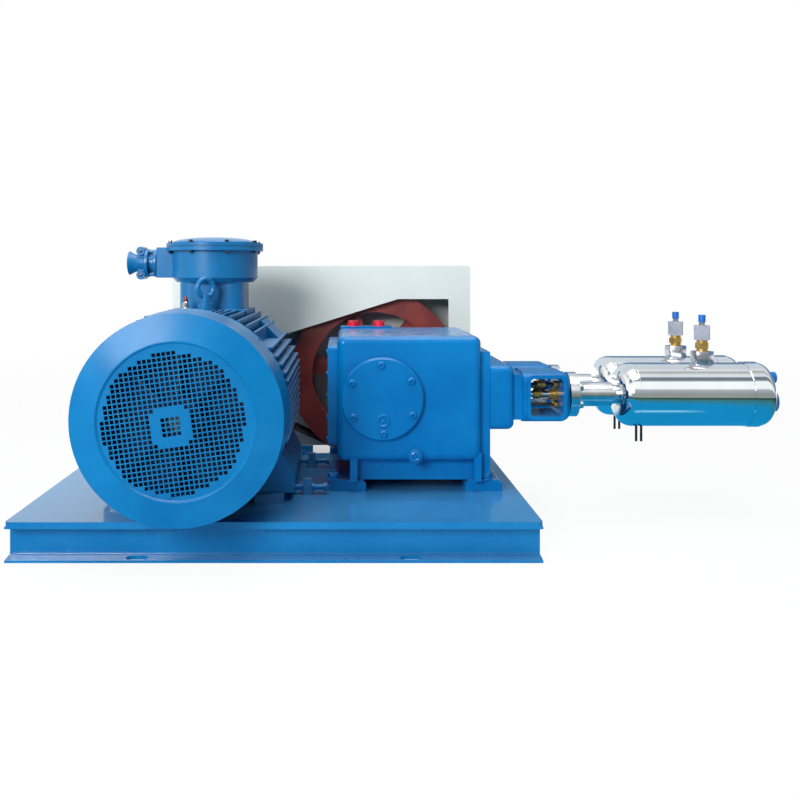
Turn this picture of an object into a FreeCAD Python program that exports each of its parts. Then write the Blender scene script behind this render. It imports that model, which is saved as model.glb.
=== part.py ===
import FreeCAD, Part
import math
import os

import Sketcher

Vector = FreeCAD.Vector
Rotation = FreeCAD.Rotation

# Driving sizes in millimetres, grouped by the piece that they belong to
SIZES = {
    # Skid: a deck plate on a frame of rolled channels with tapered flanges
    "baseLength": 1100, "baseDepth": 690, "deckThick": 9.5, "deckCornerCut": 8,
    "channelHeight": 74, "channelFlange": 36, "channelWeb": 4.5, "channelEdge": 5, "channelRoot": 9,
    "crossMemberSpacing": 420, "crossMemberX": 60,
    "anchorSpacingX": 564, "anchorEdge": 14, "anchorSlotLength": 45, "anchorSlotWidth": 18,
    # Clearances shared by the pieces
    "seatGap": 0.3, "runningGap": 0.05, "cutMargin": 2,
    # Motor on two flat rails
    "motorX": -181, "frameHeight": 203, "railThick": 18.5, "railWidth": 64, "railLength": 420,
    "railCentreY": 8, "barrelRadius": 172, "barrelFront": -322, "barrelRear": 222,
    "footSpacing": 318, "footHalfWidth": 212, "footThick": 28, "footFront": -180, "footRear": 196,
    "footWebInner": 112, "footWebKnee": 186, "footWebKneeRise": 84, "footWebOuter": 150,
    "footWebTop": 131, "footHoleSpacing": 305, "footHoleRadius": 9.5,
    "finThick": 5, "finPitch": 17.4, "finArcUp": 215.5, "finArcLevel": 219, "finReachSide": 209,
    "finReachDown": 172, "finFront": -318, "finRear": 156,
    "saddleWidth": 186, "saddleDepth": 196, "saddleTop": 200, "saddleCentreY": 41,
    "platePadWidth": 66, "platePadLength": 150, "platePadReach": 214, "platePadFront": -60,
    "shieldRadius": 178, "shieldThick": 26, "shieldEdge": 13, "shieldBevelRadius": 153,
    "shieldNose": 18, "shieldNoseRadius": 84, "shieldTipRadius": 76,
    "frontShieldThick": 26, "frontShieldNose": 62, "frontNoseThick": 13,
    "lugWidth": 34, "lugLength": 22,
    # Fan, fan cover and grille
    "coverEdgeY": -438, "coverEdgeRadius": 208.5, "coverRearY": -324, "coverRearRadius": 213.5,
    "coverRingRadius": 155, "coverRise": 14, "coverSheet": 3, "coverLip": 8, "coverStep": 6,
    "grilleThick": 2, "grilleHole": 21, "grillePitch": 29.1, "grilleField": 137,
    "grilleBlank": 42, "grilleTurn": 8,
    "fanHubRadius": 46, "fanRadius": 150, "fanFront": -424, "fanBack": -378, "fanDisc": 5,
    "fanBladeTip": 15, "fanBlades": 8, "fanBladeThick": 4,
    # Shaft, pulley and flywheel share the belt plane
    "shaftRadius": 27.5, "fanShaftRadius": 21, "shaftFront": -418, "shaftInset": 4,
    "pulleyRadius": 75, "flywheelRadius": 242, "flywheelWidth": 84, "rimInner": 179,
    "flywheelHub": 62, "spokes": 6, "spokeWidth": 46, "spokeRoot": 34, "spokeTip": 27,
    "spokeTurn": 52, "crankRadius": 30, "crankInset": 40, "crankStub": 12,
    "grooves": 4, "groovePitch": 19, "grooveTop": 16.6, "grooveFloor": 8.6, "grooveDepth": 14,
    "beltTop": 14.4, "beltFloor": 8, "beltThick": 10.4, "beltSink": 1.2,
    # Sheet-metal belt guard on the rear edge of the skid
    "guardSheet": 3, "guardReachLeft": 162, "guardReachRight": 39, "guardTop": 613, "guardFoot": 20,
    "guardBackFoot": 78, "guardDepth": 145, "guardClearance": 23.7, "guardCorner": 8,
    "guardLegLeft": 46, "guardLegRight": 61.5, "openingTop": 519.5, "openingKnee": 143.5,
    "openingDrop": 185,
    # Terminal box on its neck
    "boxOffset": 4, "neckHeight": 76, "neckWidth": 156, "neckDepth": 150, "neckCorner": 30,
    "neckFlare": 11, "boxRadius": 105, "boxHeight": 76, "boxWall": 8, "boxFlangeRadius": 118.5,
    "boxFlangeThick": 10.5, "lidThick": 8.5, "lidDomeRadius": 105, "lidDomeRise": 15,
    "entryReach": 138, "entryWidth": 70, "entryHeight": 74, "entryAxis": 36,
    "glandReach": 75, "glandRadius": 22, "glandBell": 29, "glandBellLength": 27, "glandBore": 12,
    "glandClampWidth": 18, "glandEarReach": 41, "glandCollar": 35, "glandCollarWidth": 9,
    "glandBarrel": 31, "glandHexWidth": 68, "glandHexLength": 11,
    # Lifting eye
    "eyeY": -84, "eyeRing": 21, "eyeWire": 6, "eyeCollar": 17, "eyeShank": 31, "eyeStem": 10.5,
    "eyeTurn": 40,
    # Crankcase casting on two foot rails
    "driveSpacing": 412, "crankLength": 334, "crankFront": -112, "crankDepth": 364,
    "pedestalRise": 73.5, "crankHeight": 289, "crankCorner": 18, "crankAxisRise": 218.5,
    "crankOffset": 104, "pedestalInset": 30, "panelDrop": 48, "panelCorner": 11,
    "legLeftInset": 30, "legWidth": 17, "legFront": 4,
    "crankFootThick": 26, "crankFootWidth": 87, "crankFootLeft": 20, "crankFootRight": 52,
    "crankFootInset": 22, "crankFootCorner": 9,
    "frontCoverRadius": 96, "frontCoverThick": 13, "frontCoverBevel": 4,
    "sideCoverThick": 22, "sideCoverInset": 26, "sideCoverBottom": 32, "sideCoverTop": 25,
    "sideCoverCorner": 9,
    "bearingRadius": 88, "bearingThick": 34, "bearingEdge": 14, "bearingStep": 19,
    "bearingNeck": 60, "bearingTip": 54,
    "ventPadFront": 186, "ventPadInset": 7, "ventPadLength": 136, "ventPadRise": 5,
    "ventRadius": 15, "ventHeight": 14, "ventSpacing": 68, "ventInset": 34,
    "drainOffset": 76, "drainRise": 14, "drainRadius": 15, "drainReach": 9,
    # Tensioning screws between the motor and the crankcase
    "jackClearance": 19, "jackThick": 18, "jackDepth": 20, "jackHeight": 36, "jackAxis": 16,
    "jackScrewRadius": 6, "jackHead": 16, "jackHeadLength": 8, "jackReach": 54, "jackFront": -115,
    "jackSpacing": 282,
    # Crosshead block and the two lantern housings
    "crossFlangeThick": 23, "crossFlangeBottom": 43, "crossFlangeTop": 38, "crossFlangeInset": 22,
    "crossLength": 56, "crossHeight": 150, "crossHalfDepth": 150, "crossCorner": 16,
    "cylinderSpacing": 167, "cylinderFront": 81,
    "stepLength": 22, "stepSize": 106, "lanternLength": 114, "lanternHeight": 118,
    "lanternDepth": 124, "lanternCorner": 25,
    "windowShift": 3, "windowLength": 77, "windowHeight": 87, "windowCorner": 9,
    "frameWidth": 8, "frameRise": 3, "frameCorner": 14,
    "couplingWidth": 36, "couplingLength": 30, "rodRadius": 9,
    "glandNutRadius": 20, "glandNutLength": 26,
    # Cold ends: flange, neck and insulated vessel
    "endFlangeRadius": 53, "endFlangeThick": 21, "neckRadius": 29, "neckLength": 84,
    "collarRadius": 23, "collarLength": 10, "vesselRadius": 75.5, "vesselLength": 363,
    "vesselKnuckle": 36, "vesselDish": 5, "vesselEndKnuckle": 24,
    "bandLeft": 306, "bandLength": 31, "bandRise": 2.2,
    "bossOffset": 211, "bossRadius": 27.5, "bossRise": 103, "fittingRadius": 13,
    "fittingRise": 27, "fittingHexWidth": 29, "fittingHexRise": 7, "fittingHexHeight": 13,
    "nutWidth": 34, "nutRise": 35, "stubRadius": 6, "stubRise": 8, "capRadius": 8.4, "capRise": 17,
    "drainTubeOffset": 59, "drainTubeSpacing": 12, "drainTubeRadius": 3, "drainTubeDrop": 113,
    "upperCapRadius": 13.5, "upperCapRise": 39.6, "lowerCapRadius": 25, "lowerCapDrop": 16.8,
    "nozzleLength": 10, "nozzleCapLength": 12, "nozzleWall": 3,
}

doc = FreeCAD.newDocument("PumpSkid")
sheet = doc.addObject("Spreadsheet::Sheet", "Sizes")
for row, (alias, value) in enumerate(SIZES.items(), start=1):
    sheet.set("A%d" % row, alias)
    sheet.set("B%d" % row, str(value))
    sheet.setAlias("B%d" % row, alias)
doc.recompute()


class Length:
    """A number together with the formula that ties it to the sheet."""

    def __init__(self, number, formula):
        self.number = number
        self.formula = formula

    def joined(self, other, sign, number, swap=False):
        other_formula = other.formula if isinstance(other, Length) else repr(float(other))
        pair = (other_formula, self.formula) if swap else (self.formula, other_formula)
        return Length(number, "(%s %s %s)" % (pair[0], sign, pair[1]))

    def __add__(self, other):
        return self.joined(other, "+", self.number + plain(other))

    def __radd__(self, other):
        return self.joined(other, "+", plain(other) + self.number, swap=True)

    def __sub__(self, other):
        return self.joined(other, "-", self.number - plain(other))

    def __rsub__(self, other):
        return self.joined(other, "-", plain(other) - self.number, swap=True)

    def __mul__(self, other):
        return self.joined(other, "*", self.number * plain(other))

    def __rmul__(self, other):
        return self.joined(other, "*", plain(other) * self.number, swap=True)

    def __truediv__(self, other):
        return self.joined(other, "/", self.number / plain(other))

    def __neg__(self):
        return self * -1


class Sheet:
    """Gives each size of the sheet by its alias."""

    def __getattr__(self, alias):
        return Length(float(sheet.get(alias)), "Sizes." + alias)


def plain(value):
    return value.number if isinstance(value, Length) else value


def root(value):
    return Length(math.sqrt(value.number), "sqrt(%s)" % value.formula)


def smaller(first, second):
    return Length(min(first.number, second.number), "min(%s; %s)" % (first.formula, second.formula))


def bind(thing, name, value):
    """Set a property, and tie it to the sheet where the value comes from there."""
    if isinstance(value, Length):
        thing.setExpression(name, value.formula)
    elif name.startswith("Placement.Base"):
        place = thing.Placement
        setattr(place.Base, name[-1], value)
        thing.Placement = place
    else:
        setattr(thing, name, value)


def locate(thing, x=0, y=0, z=0):
    for letter, value in (("x", x), ("y", y), ("z", z)):
        bind(thing, "Placement.Base." + letter, value)
    return thing


# Turns that point a cylinder's axis along each direction
AXES = {"+Z": Rotation(), "-Z": Rotation(Vector(1, 0, 0), 180),
        "+X": Rotation(Vector(0, 1, 0), 90), "-X": Rotation(Vector(0, 1, 0), -90),
        "+Y": Rotation(Vector(1, 0, 0), -90), "-Y": Rotation(Vector(1, 0, 0), 90)}


def box(name, size, corner):
    thing = doc.addObject("Part::Box", name)
    for side, value in zip(("Length", "Width", "Height"), size):
        bind(thing, side, value)
    return locate(thing, *corner)


def cylinder(name, radius, height, start, axis="+Z"):
    thing = doc.addObject("Part::Cylinder", name)
    bind(thing, "Radius", radius)
    bind(thing, "Height", height)
    thing.Placement.Rotation = AXES[axis]
    return locate(thing, *start)


def hexagon(name, width, height, start, axis="+Z"):
    """A hexagonal bar, width across its flats."""
    thing = doc.addObject("Part::Prism", name)
    thing.Polygon = 6
    bind(thing, "Circumradius", width / math.sqrt(3))
    bind(thing, "Height", height)
    thing.Placement.Rotation = AXES[axis]
    return locate(thing, *start)


def fuse(name, things):
    joined = doc.addObject("Part::MultiFuse", name)
    joined.Shapes = things
    joined.Refine = True
    return joined


def cut(name, base, tools):
    tool = tools[0] if len(tools) == 1 else fuse(name + "Tools", tools)
    result = doc.addObject("Part::Cut", name)
    result.Base = base
    result.Tool = tool
    result.Refine = True
    return result


def group(name, things):
    """Like pieces that don't touch, kept as one sub-part."""
    together = doc.addObject("Part::Compound", name)
    together.Links = things
    return together


def new_body(name):
    return doc.addObject("PartDesign::Body", name)


def new_sketch(body, plane, offset=None):
    sketch = body.newObject("Sketcher::SketchObject", body.Name + "Sketch")
    support = [o for o in body.Origin.OriginFeatures if o.Role == plane][0]
    sketch.AttachmentSupport = [(support, "")]
    sketch.MapMode = "FlatFace"
    if offset is not None:
        sketch.setExpression("AttachmentOffset.Base.z", offset.formula)
    return sketch


def fix_point(sketch, geometry, end, x, y):
    """Hold one point of a sketch at x and y from its origin."""
    for value, kind, axis in ((x, "DistanceX", -2), (y, "DistanceY", -1)):
        if plain(value) == 0 and not isinstance(value, Length):
            sketch.addConstraint(Sketcher.Constraint("PointOnObject", geometry, end, axis))
            continue
        index = sketch.addConstraint(
            Sketcher.Constraint(kind, -1, 1, geometry, end, float(plain(value))))
        if isinstance(value, Length):
            sketch.setExpression("Constraints[%d]" % index, value.formula)


def polygon(sketch, points):
    first = sketch.GeometryCount
    flat = [Vector(plain(x), plain(y), 0) for x, y in points]
    count = len(points)
    for index in range(count):
        sketch.addGeometry(Part.LineSegment(flat[index], flat[(index + 1) % count]))
    for index in range(count):
        following = first + (index + 1) % count
        sketch.addConstraint(Sketcher.Constraint("Coincident", first + index, 2, following, 1))
    for index, (x, y) in enumerate(points):
        fix_point(sketch, first + index, 1, x, y)


def rectangle(sketch, left, right, low, high):
    polygon(sketch, [(left, low), (right, low), (right, high), (left, high)])


def circle(sketch, x, y, radius):
    index = sketch.GeometryCount
    centre = Vector(plain(x), plain(y), 0)
    sketch.addGeometry(Part.Circle(centre, Vector(0, 0, 1), plain(radius)))
    fix_point(sketch, index, 3, x, y)
    held = sketch.addConstraint(Sketcher.Constraint("Radius", index, float(plain(radius))))
    if isinstance(radius, Length):
        sketch.setExpression("Constraints[%d]" % held, radius.formula)


def round_slot(sketch, x, y, length, width):
    """A slot along the sketch's first axis, with half-round ends."""
    first = sketch.GeometryCount
    radius = width / 2
    reach = (length - width) / 2
    left, right = Vector(plain(x - reach), plain(y), 0), Vector(plain(x + reach), plain(y), 0)
    rise = Vector(0, plain(radius), 0)
    normal = Vector(0, 0, 1)
    half = math.pi / 2
    sketch.addGeometry(Part.ArcOfCircle(Part.Circle(left, normal, plain(radius)), half, 3 * half))
    sketch.addGeometry(Part.ArcOfCircle(Part.Circle(right, normal, plain(radius)), -half, half))
    sketch.addGeometry(Part.LineSegment(left + rise, right + rise))
    sketch.addGeometry(Part.LineSegment(left - rise, right - rise))
    for arc, arc_end, line, line_end in ((0, 1, 2, 1), (0, 2, 3, 1), (1, 2, 2, 2), (1, 1, 3, 2)):
        sketch.addConstraint(
            Sketcher.Constraint("Tangent", first + arc, arc_end, first + line, line_end))
    sketch.addConstraint(Sketcher.Constraint("Equal", first, first + 1))
    fix_point(sketch, first, 3, x - reach, y)
    index = sketch.addConstraint(
        Sketcher.Constraint("DistanceX", -1, 1, first + 1, 3, plain(x + reach)))
    sketch.setExpression("Constraints[%d]" % index, (x + reach).formula)
    index = sketch.addConstraint(Sketcher.Constraint("Radius", first, plain(radius)))
    sketch.setExpression("Constraints[%d]" % index, radius.formula)


def pad(body, sketch, length, both_ways=False, backwards=False):
    feature = body.newObject("PartDesign::Pad", body.Name + "Pad")
    feature.Profile = sketch
    bind(feature, "Length", length)
    feature.SideType = "Symmetric" if both_ways else "One side"
    feature.Reversed = backwards
    doc.recompute()
    return feature


def pocket(body, sketch, length, backwards=False, both_ways=False):
    before = body.Shape.Volume
    feature = body.newObject("PartDesign::Pocket", body.Name + "Pocket")
    feature.Profile = sketch
    bind(feature, "Length", length)
    feature.SideType = "Symmetric" if both_ways else "One side"
    feature.Reversed = backwards
    doc.recompute()
    if body.Shape.Volume > before - 1:
        raise RuntimeError("%s removes nothing" % feature.Name)
    return feature


def revolve(body, sketch, axis):
    feature = body.newObject("PartDesign::Revolution", body.Name + "Revolution")
    feature.Profile = sketch
    feature.ReferenceAxis = (sketch, [axis])
    feature.Angle = 360
    doc.recompute()
    return feature


def edges_of(shape, wanted):
    """Names of the edges that a test on the edge picks."""
    return ["Edge%d" % n for n, edge in enumerate(shape.Edges, start=1) if wanted(edge)]


def dress(body, kind, size, wanted):
    """Fillet or chamfer the edges that a test picks."""
    doc.recompute()
    tip = body.Tip
    feature = body.newObject("PartDesign::" + kind, body.Name + kind)
    feature.Base = (tip, edges_of(tip.Shape, wanted))
    bind(feature, "Radius" if kind == "Fillet" else "Size", size)
    doc.recompute()
    return feature


def polar(body, feature, axis_sketch, count, axis="N_Axis"):
    pattern = body.newObject("PartDesign::PolarPattern", body.Name + "Pattern")
    pattern.Originals = [feature]
    pattern.Axis = (axis_sketch, [axis])
    pattern.Angle = 360
    bind(pattern, "Occurrences", count)
    body.Tip = pattern
    doc.recompute()
    return pattern


def near(value, target):
    return abs(value - plain(target)) < 0.01


def along(edge, direction):
    """True for a straight edge that runs along a direction."""
    if len(edge.Vertexes) < 2:
        return False
    span = edge.Vertexes[1].Point - edge.Vertexes[0].Point
    straight = abs(span.Length - edge.Length) < 1e-6
    return straight and abs(abs(span.dot(direction)) - span.Length) < 1e-6


X, Y, Z = Vector(1, 0, 0), Vector(0, 1, 0), Vector(0, 0, 1)
d = Sheet()
sub_parts = []


def sub_part(thing, label):
    thing.Label = label
    sub_parts.append(thing)
    return thing


# Levels and faces that several pieces share
deckTop = d.channelHeight + d.deckThick
halfDepth = d.baseDepth / 2
halfLength = d.baseLength / 2
motorZ = deckTop + d.railThick + d.frameHeight
saddleTop = motorZ + d.saddleTop
neckTop = saddleTop + d.neckHeight
boxTop = neckTop + d.boxHeight
boxX = d.motorX + d.boxOffset
crankX = d.motorX + d.driveSpacing
crankLeft = crankX - d.crankOffset
crankRight = crankLeft + d.crankLength
crankRear = d.crankFront + d.crankDepth
crankBottom = deckTop + d.pedestalRise
crankTop = crankBottom + d.crankHeight
crankAxisZ = deckTop + d.crankAxisRise
guardFace = halfDepth + d.seatGap
flywheelFront = guardFace + d.guardSheet + d.guardClearance
flywheelRear = flywheelFront + d.flywheelWidth


# Skid
def channel_profile(sketch, edge, inward):
    """A channel's section with its flanges' edge at one place and its web towards inward."""
    back = edge + d.channelFlange * inward
    face = back - d.channelWeb * inward
    top = d.channelHeight
    polygon(sketch, [(edge, 0), (back, 0), (back, top), (edge, top), (edge, top - d.channelEdge),
                     (face, top - d.channelRoot), (face, d.channelRoot), (edge, d.channelEdge)])


def long_channel(label, side):
    body = new_body(label)
    sketch = new_sketch(body, "YZ_Plane")
    channel_profile(sketch, halfDepth * side, -side)
    pad(body, sketch, d.baseLength, both_ways=True)
    slots = new_sketch(body, "XY_Plane")
    for end in (-1, 1):
        round_slot(slots, d.anchorSpacingX / 2 * end, (halfDepth - d.anchorEdge) * side,
                   d.anchorSlotLength, d.anchorSlotWidth)
    pocket(body, slots, d.channelRoot + d.cutMargin, backwards=True)
    sub_part(body, label)


def short_channel(name, edge, inward):
    body = new_body(name)
    sketch = new_sketch(body, "XZ_Plane")
    channel_profile(sketch, edge, inward)
    pad(body, sketch, d.baseDepth - d.channelFlange * 2, both_ways=True)
    return body


def deck_plate():
    body = new_body("deck_plate")
    sketch = new_sketch(body, "XY_Plane", d.channelHeight)
    rectangle(sketch, -halfLength, halfLength, -halfDepth, halfDepth)
    pad(body, sketch, d.deckThick)
    dress(body, "Chamfer", d.deckCornerCut, lambda edge: along(edge, Z))
    sub_part(body, "deck_plate")


deck_plate()
long_channel("front_channel", -1)
long_channel("rear_channel", 1)
sub_part(short_channel("left_channel", -halfLength, 1), "left_channel")
sub_part(short_channel("right_channel", halfLength, -1), "right_channel")
members = []
for index, side in enumerate((-1, 1)):
    edge = d.crossMemberX + d.crossMemberSpacing / 2 * side
    members.append(short_channel("crossMember%d" % index, edge, side))
sub_part(group("crossMembers", members), "cross_members")


# Motor
def motor_rails():
    rails = [box("motorRail%d" % index, (d.railWidth, d.railLength, d.railThick),
                 (d.motorX + d.footSpacing / 2 * side - d.railWidth / 2,
                  d.railCentreY - d.railLength / 2, deckTop))
             for index, side in enumerate((-1, 1))]
    sub_part(group("motorRails", rails), "motor_rails")


def motor_foot(index, side):
    """A foot with its web, as one profile across the motor and padded along it."""
    body = new_body("motorFoot%d" % index)
    sketch = new_sketch(body, "XZ_Plane")
    low = -d.frameHeight
    top = low + d.footWebTop
    polygon(sketch, [(d.footWebInner * side, low), (d.footHalfWidth * side, low),
                     (d.footHalfWidth * side, low + d.footThick),
                     (d.footWebKnee * side, low + d.footWebKneeRise),
                     (d.footWebOuter * side, top), (d.footWebInner * side, top)])
    pad(body, sketch, d.footRear - d.footFront, backwards=True)
    return locate(body, d.motorX, d.footFront, motorZ)


def chord(radius, offset):
    """Half the width of a circle at an offset from its middle."""
    return root(radius * radius - offset * offset)


def fins():
    """Upright fins above and below the barrel, and level ones at its sides, in one envelope."""
    blades = []
    length = d.finRear - d.finFront
    for step in range(-8, 9):
        offset = d.finPitch * step
        reach = chord(d.finArcUp, offset)
        top = smaller(d.saddleTop, reach)
        low = -smaller(d.finReachDown, reach)
        blades.append(box("finUp%d" % (step + 8), (d.finThick, length, top - low),
                          (d.motorX + offset - d.finThick / 2, d.finFront, motorZ + low)))
    for step in range(-4, 8):
        offset = d.finPitch * (step + 0.5)
        reach = smaller(d.finReachSide, chord(d.finArcLevel, offset))
        blades.append(box("finLevel%d" % (step + 4), (reach * 2, length, d.finThick),
                          (d.motorX - reach, d.finFront, motorZ + offset - d.finThick / 2)))
    return blades


def plate_pad(index, side):
    """A bare pad between the upright and the level fins, square to the motor's diagonal."""
    thing = box("platePad%d" % index, (d.platePadWidth, d.platePadLength, d.platePadReach),
                (d.motorX, d.platePadFront, motorZ))
    thing.Placement.Rotation = Rotation(Y, 45 * side)
    half = d.platePadWidth * (0.5 * math.cos(math.pi / 4))
    bind(thing, "Placement.Base.x", d.motorX - half)
    bind(thing, "Placement.Base.z", motorZ + half * side)
    return thing


def cover_lugs():
    """Four lugs between the corners of the fins, which carry the fan cover from inside."""
    flare = (d.coverRearRadius - d.coverEdgeRadius) / (d.coverRearY - d.coverEdgeY)
    reach = d.coverRearRadius - d.coverSheet - d.seatGap * 2 - d.lugLength * flare
    lugs = []
    for number in range(4):
        lug = box("coverLug%d" % number, (reach, d.lugLength, d.lugWidth),
                  (d.motorX, d.barrelFront - d.lugLength, motorZ))
        angle = math.radians(45 + 90 * number)
        lug.Placement.Rotation = Rotation(Y, -math.degrees(angle))
        bind(lug, "Placement.Base.x", d.motorX + d.lugWidth * (0.5 * math.sin(angle)))
        bind(lug, "Placement.Base.z", motorZ - d.lugWidth * (0.5 * math.cos(angle)))
        lugs.append(lug)
    return lugs


def motor_frame():
    barrel = cylinder("barrel", d.barrelRadius, d.barrelRear - d.barrelFront,
                      (d.motorX, d.barrelFront, motorZ), "+Y")
    shield = cylinder("frontShield", d.shieldRadius, d.frontShieldThick,
                      (d.motorX, d.barrelFront - d.frontShieldThick, motorZ), "+Y")
    nose = cylinder("frontNose", d.frontShieldNose, d.frontNoseThick,
                    (d.motorX, d.barrelFront - d.frontShieldThick - d.frontNoseThick, motorZ), "+Y")
    saddle = box("saddle", (d.saddleWidth, d.saddleDepth, d.saddleTop),
                 (d.motorX - d.saddleWidth / 2, d.saddleCentreY - d.saddleDepth / 2, motorZ))
    eye_boss = cylinder("eyeBoss", d.eyeCollar + d.eyeWire, d.saddleTop, (d.motorX, d.eyeY, motorZ))
    pieces = [barrel, shield, nose, saddle, eye_boss]
    for index, side in enumerate((-1, 1)):
        pieces += [motor_foot(index, side), plate_pad(index, side)]
    whole = fuse("motorCasting", pieces + cover_lugs() + fins())
    tools = [cylinder("motorBore", d.shaftRadius + d.runningGap, d.barrelRear - d.shaftFront,
                      (d.motorX, d.shaftFront, motorZ), "+Y")]
    for number in range(4):
        side, end = (-1, 1)[number % 2], (-1, 1)[number // 2]
        tools.append(cylinder(
            "footHole%d" % number, d.footHoleRadius, d.footThick + d.cutMargin * 2,
            (d.motorX + d.footSpacing / 2 * side,
             (d.footFront + d.footRear) / 2 + d.footHoleSpacing / 2 * end,
             motorZ - d.frameHeight - d.cutMargin)))
    sub_part(cut("motorFrame", whole, tools), "motor_frame")


def rear_shield():
    body = new_body("motor_rear_shield")
    sketch = new_sketch(body, "XY_Plane")
    bore = d.shaftRadius + d.runningGap
    start, face = d.barrelRear, d.barrelRear + d.shieldThick
    tip = face + d.shieldNose
    polygon(sketch, [(bore, start), (d.shieldRadius, start), (d.shieldRadius, start + d.shieldEdge),
                     (d.shieldBevelRadius, face), (d.shieldNoseRadius, face),
                     (d.shieldTipRadius, tip), (bore, tip)])
    revolve(body, sketch, "V_Axis")
    locate(body, d.motorX, 0, motorZ)
    sub_part(body, "motor_rear_shield")


def motor_shaft():
    body = new_body("motor_shaft")
    sketch = new_sketch(body, "XY_Plane")
    step = d.barrelFront - d.frontShieldThick
    rear = flywheelRear - d.shaftInset
    polygon(sketch, [(0, d.shaftFront), (d.fanShaftRadius, d.shaftFront), (d.fanShaftRadius, step),
                     (d.shaftRadius, step), (d.shaftRadius, rear), (0, rear)])
    revolve(body, sketch, "V_Axis")
    locate(body, d.motorX, 0, motorZ)
    sub_part(body, "motor_shaft")


def fan_cover():
    """Sheet-metal cowl: a flared side, a coned shoulder and a lip round the grille."""
    body = new_body("fan_cover")
    sketch = new_sketch(body, "XY_Plane")
    ring = d.coverEdgeY - d.coverRise
    seat = ring + d.coverStep
    polygon(sketch, [(d.coverRingRadius - d.coverLip, seat), (d.coverRingRadius, seat),
                     (d.coverRingRadius, ring), (d.coverEdgeRadius, d.coverEdgeY),
                     (d.coverRearRadius, d.coverRearY),
                     (d.coverRearRadius - d.coverSheet, d.coverRearY),
                     (d.coverEdgeRadius - d.coverSheet, d.coverEdgeY + d.coverSheet),
                     (d.coverRingRadius + d.coverSheet, ring + d.coverSheet),
                     (d.coverRingRadius + d.coverSheet, seat + d.coverSheet),
                     (d.coverRingRadius - d.coverLip, seat + d.coverSheet)])
    revolve(body, sketch, "V_Axis")
    locate(body, d.motorX, 0, motorZ)
    sub_part(body, "fan_cover")


def fan_grille():
    """A round plate with a turned grid of square holes, blank at its middle."""
    disc = Part.Face(Part.Wire(Part.makeCircle(plain(d.coverRingRadius - d.seatGap), Vector(), Y)))
    turn = Rotation(Y, -plain(d.grilleTurn))
    field, pitch, hole = plain(d.grilleField), plain(d.grillePitch), plain(d.grilleHole)
    reach = int(field / pitch)
    holes = []
    for column in range(-reach, reach + 1):
        for line in range(-reach, reach + 1):
            away = math.hypot(column, line) * pitch
            if away + hole / 2 > field or away < plain(d.grilleBlank):
                continue
            corners = [turn.multVec(Vector(column * pitch + hole * side, 0, line * pitch + hole * rise))
                       for side, rise in ((-0.5, -0.5), (0.5, -0.5), (0.5, 0.5), (-0.5, 0.5))]
            holes.append(Part.Face(Part.makePolygon(corners + corners[:1])))
    plate = disc.cut(holes).extrude(Vector(0, -plain(d.grilleThick), 0))
    grille = doc.addObject("Part::Feature", "fanGrille")
    grille.Shape = plate
    grille.Placement.Base = Vector(plain(d.motorX), plain(d.coverEdgeY - d.coverRise + d.coverStep),
                                   plain(motorZ))
    sub_part(grille, "fan_grille")


def cooling_fan():
    body = new_body("cooling_fan")
    hub = new_sketch(body, "XY_Plane")
    bore = d.fanShaftRadius + d.seatGap
    polygon(hub, [(bore, d.fanFront), (d.fanHubRadius, d.fanFront), (d.fanHubRadius, d.fanBack),
                  (d.fanRadius, d.fanBack), (d.fanRadius, d.fanBack + d.fanDisc),
                  (bore, d.fanBack + d.fanDisc)])
    revolve(body, hub, "V_Axis")
    blade = new_sketch(body, "XY_Plane")
    root_radius = d.fanHubRadius - d.cutMargin
    rear = d.fanBack + d.fanDisc
    polygon(blade, [(root_radius, d.fanFront), (d.fanRadius, d.fanFront + d.fanBladeTip),
                    (d.fanRadius, rear), (root_radius, rear)])
    feature = pad(body, blade, d.fanBladeThick, both_ways=True)
    polar(body, feature, hub, d.fanBlades, "V_Axis")
    locate(body, d.motorX, 0, motorZ)
    sub_part(body, "cooling_fan")


motor_rails()
motor_frame()
rear_shield()
motor_shaft()
fan_cover()
fan_grille()
cooling_fan()


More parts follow.
